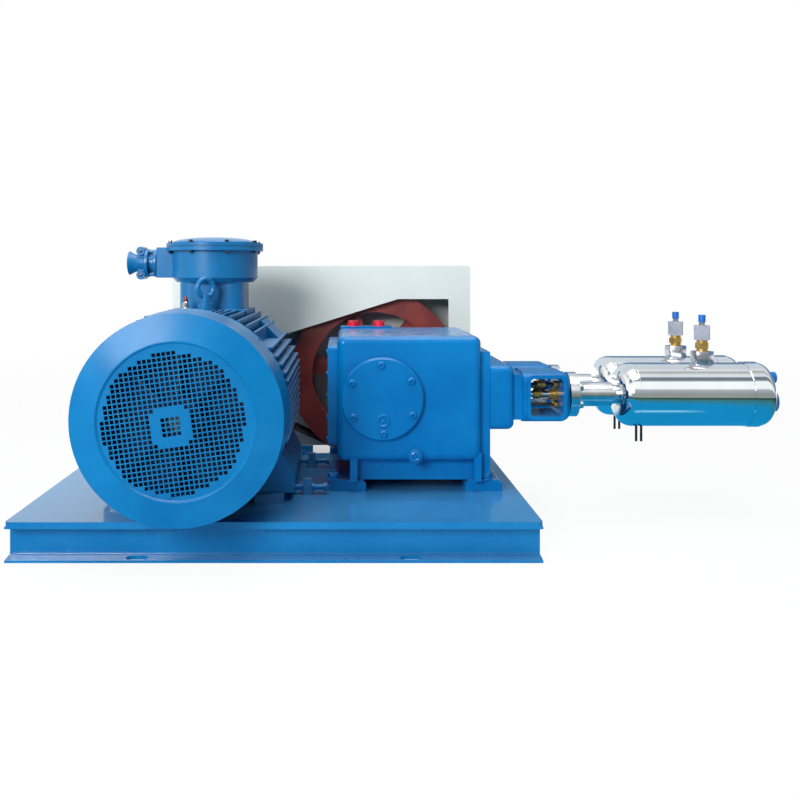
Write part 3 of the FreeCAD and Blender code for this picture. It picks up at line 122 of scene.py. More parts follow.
class Finish:
    def __init__(self, name, tree=None):
        if tree is None:
            self.material = bpy.data.materials.new(name)
            self.material.use_nodes = True
            tree = self.material.node_tree
        self.tree = tree
        self.tree.nodes.clear()

    def node(self, kind, settings=None, inputs=None, output=0):
        made = self.tree.nodes.new(kind)
        for key, value in (settings or {}).items():
            if key == "stops":
                ramp = made.color_ramp
                while len(ramp.elements) < len(value):
                    ramp.elements.new(0.5)
                for element, (place, colour) in zip(ramp.elements, value):
                    element.position, element.color = place, colour
            else:
                setattr(made, key, value)
        for key, value in (inputs or {}).items():
            if isinstance(value, Sock):
                self.tree.links.new(value.out, made.inputs[key])
            else:
                made.inputs[key].default_value = value
        return Sock(self, made.outputs[output]) if made.outputs else None

    def place(self, scale=(1, 1, 1)):
        where = self.node("ShaderNodeTexCoord", output="Object")
        return self.node("ShaderNodeMapping", {}, {"Vector": where, "Scale": scale})

    def noise(self, where, scale, detail=3.0, roughness=0.5):
        return self.node("ShaderNodeTexNoise", {}, {
            "Vector": where, "Scale": scale, "Detail": detail, "Roughness": roughness})

    def mixed(self, factor, first, second):
        return self.node("ShaderNodeMix", {"data_type": "RGBA"},
                         {0: factor, 6: first, 7: second}, 2)

    def mixedShader(self, factor, first, second):
        return self.node("ShaderNodeMixShader", {}, {0: factor, 1: first, 2: second})

    def spread(self, value, low, high, newLow=0.0, newHigh=1.0):
        return self.node("ShaderNodeMapRange", {"clamp": True},
                         {0: value, 1: low, 2: high, 3: newLow, 4: newHigh})

    def ramp(self, value, stops):
        return self.node("ShaderNodeValToRGB", {
            "stops": [(place, tone(*shade)) for place, shade in stops]}, {0: value})

    def bump(self, height, distance):
        return self.node("ShaderNodeBump", {}, {"Height": height, "Distance": distance})

    def axis(self, where, number):
        return self.node("ShaderNodeSeparateXYZ", {}, {0: where}, number)

    def distance(self, where, point):
        return self.node("ShaderNodeVectorMath", {"operation": "DISTANCE"},
                         {0: where, 1: point}, "Value")

    def rayIs(self, kind):
        return self.node("ShaderNodeLightPath", output="Is %s Ray" % kind)

    def clouded(self, cloud, look):  # the two tones of a finish, in soft patches
        share = self.spread(cloud, *surface["patch"])
        return self.mixed(share, tone(*look["deep"]), tone(*look["light"]))

    def roughened(self, value, rough, change):
        smoother, rougher = change
        return self.spread(value, *surface["roughBand"], rough + smoother, rough + rougher)

    def shaded(self, **sockets):
        names = {"colour": "Base Color", "rough": "Roughness", "metal": "Metallic",
                 "coat": "Coat Weight", "coatRough": "Coat Roughness", "normal": "Normal",
                 "level": "Specular IOR Level"}
        shader = self.node("ShaderNodeBsdfPrincipled", {},
                           {names[key]: value for key, value in sockets.items()})
        self.node("ShaderNodeOutputMaterial", {}, {"Surface": shader})
        return self.material


def paint(name, look):  # sprayed enamel over plate or castings; faces turned up are dulled by dust and lightened by a painted sheen of light from above
    f = Finish(name)
    where = f.place()
    cloud = f.noise(where, look["cloudScale"], surface["cloudDetail"])
    peel = f.noise(where, look["peelScale"], surface["softDetail"])
    grain = f.noise(where, look["grainScale"], *surface["fineDetail"])
    colour = f.clouded(cloud, look)
    rough = f.roughened(cloud, look["rough"], surface["paintRough"])
    # Faces turned up blend in patches towards a pale tone: settled dust, and also a painted sheen
    # of light falling from above.
    if look["dustAndSheen"]:
        skyward = f.axis(f.node("ShaderNodeNewGeometry", output="Normal"), 2)
        dustAndSheenShare = f.spread(skyward, *surface["dustAndSheenFacing"])
        dustAndSheenShare = dustAndSheenShare * f.spread(cloud, *surface["dustAndSheenPatch"]) * look["dustAndSheen"]
        colour = f.mixed(dustAndSheenShare, colour, tone(*look["dustAndSheenTone"]))
        rough = rough + dustAndSheenShare * surface["dustAndSheenRough"]
    height = peel * look["peelShare"] + grain * (1 - look["peelShare"])
    return f.shaded(colour=colour, rough=rough, coat=look["coat"], coatRough=look["coatRough"],
                    level=look["level"], normal=f.bump(height, look["depth"]))


def turnedMetal(name, look):  # fine tool or polishing lines that run round an axis
    f = Finish(name)
    lines = f.noise(f.place(look["stretch"]), look["lineScale"], *surface["fineDetail"])
    cloud = f.noise(f.place(), look["cloudScale"])
    share = surface["lineShare"]
    rough = f.roughened(lines * share + cloud * (1 - share), look["rough"], (0, look["roughSpan"]))
    return f.shaded(colour=f.clouded(cloud, look), rough=rough, metal=look["metal"],
                    normal=f.bump(lines, look["depth"]))


def moulded(name, look):  # rubber and plastic, with a faint moulded grain
    f = Finish(name)
    where = f.place()
    cloud = f.noise(where, look["cloudScale"])
    grain = f.noise(where, look["grainScale"], surface["softDetail"])
    return f.shaded(colour=f.clouded(cloud, look), normal=f.bump(grain, look["depth"]),
                    rough=f.roughened(cloud, look["rough"], surface["mouldedRough"]))


skidPaint = paint("skidPaint", {
    "deep": (4, 106, 166), "light": (12, 121, 181), "cloudScale": 5.0, "peelScale": 160.0,
    "grainScale": 700.0, "peelShare": 0.7, "depth": 0.0002, "rough": 0.26, "coat": 0.8,
    "level": 0.4, "coatRough": 0.08, "dustAndSheen": 0.2, "dustAndSheenTone": (130, 180, 215)})
motorLook = {
    "deep": (0, 100, 158), "light": (2, 113, 171), "cloudScale": 7.0, "peelScale": 220.0,
    "grainScale": 900.0, "peelShare": 0.5, "depth": 0.0003, "rough": 0.3, "coat": 0.12,
    "level": 0.14, "coatRough": 0.18, "dustAndSheen": 0.35, "dustAndSheenTone": (170, 195, 225)}
motorPaint = paint("motorPaint", motorLook)
boxPaint = paint("boxPaint", dict(motorLook, coat=0.26, level=0.34))
pumpLook = {
    "deep": (0, 103, 168), "light": (0, 115, 182), "cloudScale": 8.0, "peelScale": 120.0,
    "grainScale": 600.0, "peelShare": 0.75, "depth": 0.0003, "rough": 0.2, "coat": 0.16,
    "level": 0.14, "coatRough": 0.1, "dustAndSheen": 0.35, "dustAndSheenTone": (150, 178, 215)}
pumpPaint = paint("pumpPaint", pumpLook)
guidePaint = paint("guidePaint", dict(pumpLook, dustAndSheen=0.1))
guardPaint = paint("guardPaint", {
    "deep": (214, 222, 218), "light": (224, 231, 227), "cloudScale": 3.0, "peelScale": 140.0,
    "grainScale": 800.0, "peelShare": 0.8, "depth": 0.0002, "rough": 0.45, "coat": 0.1,
    "level": 0.4, "coatRough": 0.3, "dustAndSheen": 0.1, "dustAndSheenTone": (190, 190, 184)})
redPrimer = paint("redPrimer", {
    "deep": (116, 38, 32), "light": (146, 54, 44), "cloudScale": 14.0, "peelScale": 260.0,
    "grainScale": 1100.0, "peelShare": 0.4, "depth": 0.0005, "rough": 0.42, "coat": 0.1,
    "level": 0.5, "coatRough": 0.3, "dustAndSheen": 0.0})
# The cooling fan is painted near-black navy as painted shade, so that the grille's holes look dark
# like the shadowed inside of the cover.
fanPaintedShade = paint("fanPaintedShade", {
    "deep": (0, 26, 52), "light": (0, 40, 74), "cloudScale": 9.0, "peelScale": 220.0,
    "grainScale": 900.0, "peelShare": 0.5, "depth": 0.0003, "rough": 0.4, "coat": 0.1,
    "level": 0.3, "coatRough": 0.3, "dustAndSheen": 0.0})
machinedSteel = turnedMetal("machinedSteel", {
    "deep": (196, 198, 200), "light": (222, 224, 226), "cloudScale": 20.0, "lineScale": 3.0,
    "stretch": (400, 8, 8), "rough": 0.14, "roughSpan": 0.14, "depth": 0.00006, "metal": 1.0})
dullSteel = turnedMetal("dullSteel", {
    "deep": (160, 166, 180), "light": (182, 188, 202), "cloudScale": 30.0, "lineScale": 3.0,
    "stretch": (8, 8, 300), "rough": 0.4, "roughSpan": 0.12, "depth": 0.00008, "metal": 0.25})
darkTube = turnedMetal("darkTube", {
    "deep": (60, 62, 66), "light": (96, 98, 102), "cloudScale": 30.0, "lineScale": 3.0,
    "stretch": (8, 8, 300), "rough": 0.22, "roughSpan": 0.12, "depth": 0.00004, "metal": 1.0})
pulleyIron = turnedMetal("pulleyIron", {
    "deep": (98, 98, 98), "light": (132, 132, 130), "cloudScale": 24.0, "lineScale": 3.0,
    "stretch": (8, 400, 8), "rough": 0.32, "roughSpan": 0.2, "depth": 0.0001, "metal": 1.0})
polishedSteel = turnedMetal("polishedSteel", {
    "deep": (222, 225, 227), "light": (234, 236, 237), "cloudScale": 6.0, "lineScale": 3.0,
    "stretch": (500, 3, 3), "rough": 0.03, "roughSpan": 0.04, "depth": 0.00001, "metal": 1.0})
bossSteel = turnedMetal("bossSteel", {
    "deep": (176, 178, 190), "light": (206, 208, 216), "cloudScale": 24.0, "lineScale": 3.0,
    "stretch": (8, 8, 300), "rough": 0.12, "roughSpan": 0.1, "depth": 0.00004, "metal": 0.9})
brassTurned = turnedMetal("brassTurned", {
    "deep": (194, 152, 74), "light": (222, 186, 108), "cloudScale": 40.0, "lineScale": 3.0,
    "stretch": (8, 8, 500), "rough": 0.24, "roughSpan": 0.16, "depth": 0.00008, "metal": 0.85})
beltRubber = moulded("beltRubber", {
    "deep": (22, 22, 24), "light": (34, 34, 36), "cloudScale": 30.0, "grainScale": 1500.0,
    "rough": 0.65, "depth": 0.0003})
redPlastic = moulded("redPlastic", {
    "deep": (206, 14, 44), "light": (228, 26, 56), "cloudScale": 60.0, "grainScale": 1400.0,
    "rough": 0.35, "depth": 0.0001})
bluePlastic = moulded("bluePlastic", {
    "deep": (12, 98, 186), "light": (24, 118, 204), "cloudScale": 60.0, "grainScale": 1400.0,
    "rough": 0.35, "depth": 0.0001})

nodeFinish = {
    skidPaint: ("deck_plate", "front_channel", "rear_channel", "left_channel", "right_channel",
                "cross_members", "motor_rails", "jack_blocks"),
    motorPaint: ("motor_frame", "motor_rear_shield", "fan_cover", "fan_grille"),
    boxPaint: ("terminal_box_neck", "terminal_box", "terminal_box_lid", "cable_gland",
               "lifting_eye"),
    fanPaintedShade: ("cooling_fan",),
    pumpPaint: ("crankcase", "crankcase_front_cover", "crankcase_side_cover", "bearing_housing",
                "jack_screws"),
    guidePaint: ("crosshead_flange", "crosshead_block", "lantern_housing_front",
                 "lantern_housing_rear"),
    guardPaint: ("belt_guard_front", "belt_guard_back", "belt_guard_rim"),
    redPrimer: ("flywheel",),
    machinedSteel: ("end_flanges", "crankshaft", "motor_shaft"),
    dullSteel: ("union_nuts",),
    darkTube: ("drain_tubes",),
    pulleyIron: ("motor_pulley",),
    polishedSteel: ("vessel_front", "vessel_rear", "outlet_bosses", "nozzles", "rod_couplings"),
    brassTurned: ("brass_fittings", "packing_glands"),
    beltRubber: ("drive_belts",),
    redPlastic: ("breather_caps",),
    bluePlastic: ("nozzle_caps", "outlet_caps"),
}
for finish, names in nodeFinish.items():
    for name in names:
        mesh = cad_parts[name].data
        mesh.materials.clear()
        mesh.materials.append(finish)
print("finishes made:", len(nodeFinish))


# shapes, built in millimetres and made metres when a piece is finished
rightward, leftward, frontward = (1, 0, 0), (-1, 0, 0), (0, -1, 0)
upward, downward = (0, 0, 1), (0, 0, -1)
mergeGap = 0.005


def facing(point, out, turn=0.0):  # local +Z points out of the surface that a fastener sits on
    aim = Vector(out).to_track_quat("Z", "Y").to_matrix().to_4x4()
    return Matrix.Translation(Vector(point)) @ aim @ Matrix.Rotation(turn, 4, "Z")


def around(count, start):  # angles of a bolt circle
    return [math.radians(start + 360 / count * number) for number in range(count)]


def spun(bm, profile, place, steps):  # a profile of (radius, height) turned round local Z
    made = [bm.verts.new(place @ Vector((radius, 0, height))) for radius, height in profile]
    edges = [bm.edges.new(pair) for pair in zip(made, made[1:])]
    bmesh.ops.spin(bm, geom=made + edges, cent=place.translation, axis=place.col[2].xyz,
                   angle=math.tau, steps=steps, use_merge=True)


def hexagon(bm, across, low, high, place, bevel):
    corner = across / math.sqrt(3)
    made = bmesh.ops.create_cone(
        bm, cap_ends=True, segments=6, radius1=corner, radius2=corner, depth=high - low,
        matrix=place @ Matrix.Translation((0, 0, (low + high) / 2)))
    edges = {edge for vert in made["verts"] for edge in vert.link_edges}
    bmesh.ops.bevel(bm, geom=list(edges), offset=bevel, affect="EDGES", segments=2, profile=0.5,
                    material=-1)


# fasteners, as shares of a bolt's width across flats or of a button head's radius and height;
# the stud's chamfer is in millimetres
fastener = {"washer": 0.62, "washerRise": 0.12, "bevel": 0.04, "stud": 0.26, "studTip": 0.2,
            "chamfer": 0.8, "button": ((0.62, 1.0), (0.88, 0.72), (1.0, 0.3)),
            "socketFloor": 0.35, "steps": 20, "studSteps": 14}


def boltHead(bm, place, across, height):
    wide, lift = across * fastener["washer"], across * fastener["washerRise"]
    spun(bm, [(0, 0), (wide, 0), (wide, lift), (0, lift)], place, fastener["steps"])
    hexagon(bm, across, lift, lift + height, place, across * fastener["bevel"])


def nutOnStud(bm, place, across, height, stud):
    boltHead(bm, place, across, height)
    radius, tip = across * fastener["stud"], across * fastener["studTip"]
    top = height + stud
    spun(bm, [(radius, height), (radius, top - fastener["chamfer"]), (tip, top), (0, top)], place,
         fastener["studSteps"])


def buttonHead(bm, place, radius, height, socket):
    floor = height * fastener["socketFloor"]
    dome = [(radius * wide, height * tall) for wide, tall in fastener["button"]]
    spun(bm, [(0, floor), (socket, floor), (socket, height)] + dome + [(radius, 0)], place,
         fastener["steps"])


def finished(name, bm, finish, crease=35.0, hides=()):
    bmesh.ops.remove_doubles(bm, verts=bm.verts, dist=mergeGap)
    bmesh.ops.recalc_face_normals(bm, faces=bm.faces)
    bmesh.ops.scale(bm, vec=(mm, mm, mm), verts=bm.verts)
    for face in bm.faces:
        face.smooth = True
    limit = math.radians(crease)
    for edge in bm.edges:
        edge.smooth = len(edge.link_faces) == 2 and edge.calc_face_angle(0.0) < limit
    mesh = bpy.data.meshes.new(name)
    bm.to_mesh(mesh)
    bm.free()
    mesh.materials.append(finish)
    thing = bpy.data.objects.new(name, mesh)
    bpy.context.scene.collection.objects.link(thing)
    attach(thing, "skid")
    if hides:
        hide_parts(*hides)


# fan cover: the true grille, the lip round it and the screws. The grille's field, margin, blank
# disc, group of holes in it, middle of both and nearness are in pitches.
grille = {"pitch": 9.7, "hole": 7.4, "turn": 8.0, "field": 14.25, "margin": 0.6, "blank": 4.4,
          "group": 2.0, "middle": -0.5, "near": 0.01, "radius": 154.5, "rim": 2.5, "thick": 1.4,
          "count": 16, "shift": (-4.2, -3.8)}


def makeGrille(look):
    pitch, half, near = look["pitch"], look["hole"] / 2, look["near"]
    lines = [step * pitch + half * side for step in range(-look["count"], look["count"] + 1)
             for side in (-1, 1)]
    last = len(lines) - 1
    bm = bmesh.new()
    bmesh.ops.create_grid(bm, x_segments=last, y_segments=last, size=1.0)
    for vert in bm.verts:
        column, line = (round((c + 1) / 2 * last) for c in vert.co.xy)
        vert.co = Vector((lines[column], 0.0, lines[line]))
    shift = Matrix.Translation((look["shift"][0], 0, look["shift"][1]))
    turned = shift @ Matrix.Rotation(math.radians(-look["turn"]), 4, "Y")
    unwanted = []
    for face in bm.faces:
        middle = face.calc_center_median()
        column, line = middle.x / pitch, middle.z / pitch
        onHole = abs(column - round(column)) < near and abs(line - round(line)) < near
        aside, above = column - look["middle"], line - look["middle"]
        inGroup = max(abs(aside), abs(above)) < look["group"]
        blank = math.hypot(aside, above) < look["blank"]
        inField = (middle.length / pitch < look["field"] and not blank) or inGroup
        outside = (turned @ middle).length > look["radius"] - look["rim"]
        if outside or (onHole and inField):
            unwanted.append(face)
    bmesh.ops.delete(bm, geom=unwanted, context="FACES")
    edge = (look["field"] + look["margin"]) * pitch
    for vert in bm.verts:
        outer = vert.is_boundary and vert.co.length > edge
        vert.co = turned @ vert.co
        if outer:
            vert.co = vert.co.normalized() * look["radius"]
    bmesh.ops.translate(bm, vec=(grilleBox.mid.x, grilleBox.high.y, grilleBox.mid.z),
                        verts=bm.verts)
    sheet = bmesh.ops.extrude_face_region(bm, geom=bm.faces[:])["geom"]
    bmesh.ops.translate(bm, vec=(0, -look["thick"], 0),
                        verts=[item for item in sheet if isinstance(item, bmesh.types.BMVert)])
    finished("fan_grille_fine", bm, motorPaint, hides=("fan_grille",))


makeGrille(grille)

cove = {"profile": ((156.8, -0.3), (155.8, 0.5), (154.27, 0.2), (152.72, -1.62), (150.24, -4.59),
                    (149.0, -5.4)), "steps": 128}


def makeCove(look):  # the rolled lip that leads from the cover's ring down to the grille
    bm = bmesh.new()
    at = facing((coverBox.mid.x, coverBox.low.y, coverBox.mid.z), frontward)
    spun(bm, look["profile"], at, look["steps"])
    finished("fan_cover_lip", bm, motorPaint, crease=60.0)


makeCove(cove)

coverScrew = {"across": 9.0, "height": 3.0, "inset": 14.0, "sink": 3.2,
              "dotAt": (-160.5, 2.0, -6.0), "dot": (2.4, 1.8, 0.9)}


def makeCoverScrews(look):
    bm = bmesh.new()
    radius = (coverBox.high.x - coverBox.low.x) / 2 - look["sink"]
    centre = Vector((coverBox.mid.x, coverBox.high.y - look["inset"], coverBox.mid.z))
    for angle in around(4, 45):
        out = Vector((math.cos(angle), 0, math.sin(angle)))
        boltHead(bm, facing(centre + out * radius, out, angle), look["across"], look["height"])
    dot = Vector((coverBox.mid.x, coverBox.low.y, coverBox.mid.z)) + Vector(look["dotAt"])
    buttonHead(bm, facing(dot, frontward), *look["dot"])
    finished("fan_cover_screws", bm, motorPaint)


makeCoverScrews(coverScrew)

# terminal box: lid bolts with nuts below the flange, gasket, cable gland, grease fitting
lidBolt = {"circle": 111.0, "across": 9.0, "height": 5.0, "rim": 8.5, "flange": 10.5, "nut": 4.0,
           "stud": 3.0}


def makeLidBolts(look):
    bm = bmesh.new()
    across = look["across"]
    for angle in around(8, 22.5):
        x = lidBox.mid.x + look["circle"] * math.cos(angle)
        y = lidBox.mid.y + look["circle"] * math.sin(angle)
        above = facing((x, y, lidBox.low.z + look["rim"]), upward, angle)
        below = facing((x, y, lidBox.low.z - look["flange"]), downward, angle)
        boltHead(bm, above, across, look["height"])
        nutOnStud(bm, below, across, look["nut"], look["stud"])
    finished("terminal_box_bolts", bm, darkTube)


makeLidBolts(lidBolt)

gasket = {"profile": ((116.0, -0.6), (118.6, -0.6), (118.6, 0.6), (116.0, 0.6)), "steps": 96}


def makeGasket(look):
    bm = bmesh.new()
    at = facing((lidBox.mid.x, lidBox.mid.y, lidBox.low.z), upward)
    spun(bm, look["profile"], at, look["steps"])
    finished("terminal_box_gasket", bm, beltRubber)


makeGasket(gasket)

# the casting's profile runs from its bore over the bell mouth and the two flange plates
gland = {"profile": ((0, 67), (12, 67), (12, 8), (18, 2.5), (26.5, 0), (29.5, 1.2), (28.3, 4.5),
                     (24, 12), (21, 21), (21, 43), (34, 43), (35, 44), (35, 50), (34, 51),
                     (23, 51), (23, 65), (34, 65), (35, 66), (35, 72), (34, 73), (23, 73),
                     (23, 75), (0, 75)),
         "lobe": ((0, -44), (11, -44), (11, -1), (10, 0), (4.4, 0), (4.4, -4), (0, -4)),
         "lobeAt": 33.0, "lobeRise": 29.5, "lobeFront": 22.0, "web": (18.7, 30.0, 59.0),
         "stud": ((4.6, 0), (4.6, 14)), "studAt": 51.0, "studSide": 12.0, "studRise": 28.0,
         "screw": (6.6, -2.0, 2.5), "screwSink": 3.9, "screwTurn": 0.3, "screwBevel": 0.3,
         "steps": 64, "lobeSteps": 32, "studSteps": 16}


def makeGland(look):
    bm, screws = bmesh.new(), bmesh.new()
    left, y, z = glandBox.low.x, glandBox.mid.y, glandBox.mid.z
    spun(bm, look["profile"], facing((left, y, z), rightward), look["steps"])
    lobeX, lobeY = left + look["lobeAt"], y - look["lobeFront"]
    for side in (1, -1):
        lobeZ = z + look["lobeRise"] * side
        spun(bm, look["lobe"], facing((lobeX, lobeY, lobeZ), frontward), look["lobeSteps"])
        sunk = facing((lobeX, lobeY + look["screwSink"], lobeZ), frontward, look["screwTurn"])
        hexagon(screws, *look["screw"], sunk, look["screwBevel"])
        for ahead in (-1, 1):
            at = (left + look["studAt"], y + look["studSide"] * ahead,
                  z + look["studRise"] * side)
            spun(bm, look["stud"], facing(at, rightward), look["studSteps"])
    web = Matrix.Translation((lobeX, y, z)) @ Matrix.Diagonal((*look["web"], 1))
    bmesh.ops.create_cube(bm, size=1.0, matrix=web)
    finished("cable_gland_casting", bm, boxPaint, hides=("cable_gland",))
    finished("cable_gland_screws", screws, darkTube)


makeGland(gland)

grease = {"x": -48.0, "ahead": 11.0, "foot": (21.0, 0, 5.0), "bevel": 0.6, "steps": 20,
          "body": ((5.92, 5), (7.4, 6.5), (7.4, 17.5), (5.18, 20), (0, 20)),
          "cap": ((4.68, 19.7), (5.2, 21), (5.2, 28), (3.12, 31.4), (0, 32))}


def makeGreaseFitting(look):
    place = (motorBox.mid.x + look["x"], neckBox.low.y - look["ahead"], neckBox.low.z)
    at = facing(place, upward)
    body, cap = bmesh.new(), bmesh.new()
    hexagon(body, *look["foot"], at, look["bevel"])
    spun(body, look["body"], at, look["steps"])
    spun(cap, look["cap"], at, look["steps"])
    finished("grease_fitting", body, machinedSteel)
    finished("grease_fitting_cap", cap, redPrimer)


makeGreaseFitting(grease)

# motor feet, tensioning screws, crankcase feet
footBolt = {"across": 24.0, "height": 12.0, "spacing": 318.0, "rows": 305.0, "middle": 8.0,
            "foot": 28.0, "turn": 0.3}


def makeFootBolts(look):
    bm = bmesh.new()
    for side in (-1, 1):
        for end in (-1, 1):
            at = (motorBox.mid.x + look["spacing"] / 2 * side,
                  look["middle"] + look["rows"] / 2 * end, motorBox.low.z + look["foot"])
            boltHead(bm, facing(at, upward, look["turn"]), look["across"], look["height"])
    finished("motor_foot_bolts", bm, skidPaint)


makeFootBolts(footBolt)

lockNut = {"size": (17.0, 0.2, 6.0), "axis": 16.0, "inset": 10.0, "bevel": 0.5}


def makeLockNuts(look):
    bm = bmesh.new()
    z = deckBox.high.z + look["axis"]
    for y in (jackBox.low.y + look["inset"], jackBox.high.y - look["inset"]):
        for x, out in ((jackBox.low.x, -1), (jackBox.high.x, 1)):
            hexagon(bm, *look["size"], facing((x, y, z), (out, 0, 0)), look["bevel"])
    finished("jack_lock_nuts", bm, pumpPaint)


makeLockNuts(lockNut)

anchor = {"size": (24.0, 13.0, 8.0), "rise": 26.0, "turn": 0.4,
          "places": ((-9.0, 41.0), (349.0, 41.0), (-9.0, 341.0), (349.0, 341.0))}


def makeAnchors(look):
    bm = bmesh.new()
    for x, y in look["places"]:
        at = (sideBox.high.x + x, caseBox.low.y + y, deckBox.high.z + look["rise"])
        nutOnStud(bm, facing(at, upward, look["turn"]), *look["size"])
    finished("crankcase_foot_nuts", bm, pumpPaint)


makeAnchors(anchor)

# crankcase: cover screws, plugs and the side cover's bolts
coverBolts = {"circle": 78.5, "start": 92.0, "head": (9.5, 6.0, 4.2), "plugAt": (2.0, 0.0, -49.0),
              "plug": ((0, 1.0), (8.525, 1.0), (9.61, 3.4), (12.09, 5.0), (14.725, 4.4),
                       (15.5, 3.0), (15.5, 0)), "key": (9.3, 0.4, 2.2), "bevel": 0.3,
              "steps": 28}


def makeCoverBolts(look):
    bm = bmesh.new()
    centre = Vector((faceBox.mid.x, faceBox.low.y, faceBox.mid.z))
    for angle in around(6, look["start"]):
        out = Vector((math.cos(angle), 0, math.sin(angle))) * look["circle"]
        buttonHead(bm, facing(centre + out, frontward), *look["head"])
    plug = facing(centre + Vector(look["plugAt"]), frontward)
    spun(bm, look["plug"], plug, look["steps"])
    hexagon(bm, *look["key"], plug, look["bevel"])
    finished("crankcase_cover_screws", bm, pumpPaint)


makeCoverBolts(coverBolts)

drain = {"offset": 76.0, "rise": 87.5, "key": (8.4, 1.5, 5.5), "bevel": 0.4, "steps": 28,
         "plug": ((0, 2.0), (5.0, 2.0), (5.6, 5.0), (8.6, 6.5), (11.6, 5.2), (12.2, 3.0),
                  (14.2, 3.4), (16.0, 2.2), (16.2, -1.0))}


def makeDrainPlug(look):
    bm = bmesh.new()
    place = (faceBox.mid.x + look["offset"], caseBox.low.y, deckBox.high.z + look["rise"])
    at = facing(place, frontward)
    spun(bm, look["plug"], at, look["steps"])
    hexagon(bm, *look["key"], at, look["bevel"])
    finished("crankcase_drain_plug", bm, pumpPaint)


makeDrainPlug(drain)

sideBolt = {"across": 9.0, "height": 2.6, "rows": (0.06, 0.28, 0.5, 0.72, 0.94), "inset": 12.0}


def makeSideBolts(look):
    bm = bmesh.new()
    tall = sideBox.high.z - sideBox.low.z
    for y in (sideBox.low.y + look["inset"], sideBox.high.y - look["inset"]):
        for share in look["rows"]:
            at = facing((sideBox.low.x, y, sideBox.low.z + tall * share), leftward)
            boltHead(bm, at, look["across"], look["height"])
    finished("crankcase_side_bolts", bm, pumpPaint)


makeSideBolts(sideBolt)

# crosshead flange nuts and the cold ends' flange nuts
crossNut = {"size": (15.0, 8.0, 3.0), "rises": (62.0, 14.0, -38.0), "edge": 12.0}


def makeCrossNuts(look):
    bm = bmesh.new()
    for y in (crossBox.low.y + look["edge"], crossBox.high.y - look["edge"]):
        for rise in look["rises"]:
            at = facing((crossBox.high.x, y, axisHeight + rise), rightward)
            nutOnStud(bm, at, *look["size"])
    finished("crosshead_flange_nuts", bm, pumpPaint)


makeCrossNuts(crossNut)

coldNut = {"size": (15.0, 8.0, 3.0), "circle": 41.0, "thick": 21.0, "angles": (30, 150, 210, 330)}


def makeColdNuts(look):
    bm = bmesh.new()
    for y in coldAxes:
        for angle in map(math.radians, look["angles"]):
            at = (flangeBox.low.x + look["thick"], y + look["circle"] * math.cos(angle),
                  axisHeight + look["circle"] * math.sin(angle))
            nutOnStud(bm, facing(at, rightward), *look["size"])
    finished("end_flange_nuts", bm, machinedSteel)


makeColdNuts(coldNut)

# inside the lantern windows: rod with its nut, packing gland, tie studs with their nuts
lantern = {"rod": 7.8, "collar": ((10.8, 0), (10.8, 7), (7.8, 8.5)), "nut": (19.0, 18.0, 35.0),
           "sleeve": ((7.8, 35.0), (9.0, 35.2), (9.0, 39.0), (7.8, 39.5)),
           "gland": ((16.5, 0), (16.5, 8), (15.6, 9), (12.2, 9), (12.2, 20.3), (11.0, 21.5),
                     (7.8, 21.5)),
           "stud": 2.6, "studAhead": 9.0, "studRise": 24.0, "studNut": 12.0, "nutDepth": 9.0,
           "pair": ((27, 37), (38, 46)), "bevel": 0.5, "nutBevel": 1.0, "steps": 28,
           "studSteps": 12}


def makeLanternPieces(look):
    left, right = rodBox.low.x, packingBox.high.x
    length, z = right - left, axisHeight
    across, bevel, steps = look["studNut"], look["bevel"], look["steps"]
    brass, steel, dark = bmesh.new(), bmesh.new(), bmesh.new()
    for y in coldAxes:
        rod = facing((left, y, z), rightward)
        spun(steel, [(look["rod"], 0), (look["rod"], length)], rod, steps)
        spun(steel, look["collar"], rod, steps)
        hexagon(brass, *look["nut"], rod, look["nutBevel"])
        spun(brass, look["sleeve"], rod, steps)
        spun(brass, look["gland"], facing((right, y, z), leftward), steps)
        for rise in (look["studRise"], -look["studRise"]):
            for ahead in (-look["studAhead"], look["studAhead"]):
                stud = facing((left, y + ahead, z + rise), rightward)
                spun(dark, [(look["stud"], 0), (look["stud"], length)], stud, look["studSteps"])
                hexagon(brass, across, length - look["nutDepth"], length, stud, bevel)
        stud = facing((left, y - look["studAhead"], z + look["studRise"]), rightward)
        for low, high in look["pair"]:
            hexagon(brass, across, low, high, stud, bevel)
    finished("plunger_rods", steel, machinedSteel, hides=("rod_couplings",))
    finished("gland_studs", dark, darkTube)
    finished("rod_nuts_and_glands", brass, brassTurned, hides=("packing_glands",))


makeLanternPieces(lantern)

# vessels: a weld seam round each shell, outlet hexagons, clear sleeves below the caps
seam = {"place": 42.0, "profile": ((75.3, -1.5), (75.6, -0.6), (75.6, 0.6), (75.3, 1.5)),
        "steps": 96}


def makeSeams(look):
    bm = bmesh.new()
    for y in coldAxes:
        at = facing((vesselBox.low.x + look["place"], y, axisHeight), rightward)
        spun(bm, look["profile"], at, look["steps"])
    finished("vessel_seams", bm, machinedSteel, crease=80.0)


makeSeams(seam)

boss = {"size": (46.0, -36.0, 0), "turn": 0.2, "bevel": 0.8}


def makeBosses(look):
    bm = bmesh.new()
    for y in coldAxes:
        at = facing((bossBox.mid.x, y, bossBox.high.z), upward, look["turn"])
        hexagon(bm, *look["size"], at, look["bevel"])
    finished("outlet_hexagons", bm, bossSteel, hides=("outlet_bosses",))


makeBosses(boss)

sleeve = {"profile": ((6.2, 0.2), (7.2, 0.4), (7.2, 7.0), (6.2, 7.6)), "steps": 24}


def makeSleeves(look):
    bm = bmesh.new()
    for y in coldAxes:
        at = facing((capBox.mid.x, y, capBox.low.z), upward)
        spun(bm, look["profile"], at, look["steps"])
    finished("outlet_sleeves", bm, bossSteel)


makeSleeves(sleeve)

# angle stay of the belt guard on the deck's rear edge
stay = {"left": 2.0, "right": 55.0, "back": 0.5, "gap": 0.2,
        "section": ((0, 0), (-24, 0), (-24, 4), (-4, 4), (-4, 22), (0, 22)),
        "boltAt": (28.5, -14.0, 4.0), "bolt": (11.0, 5.5), "turn": 0.2}


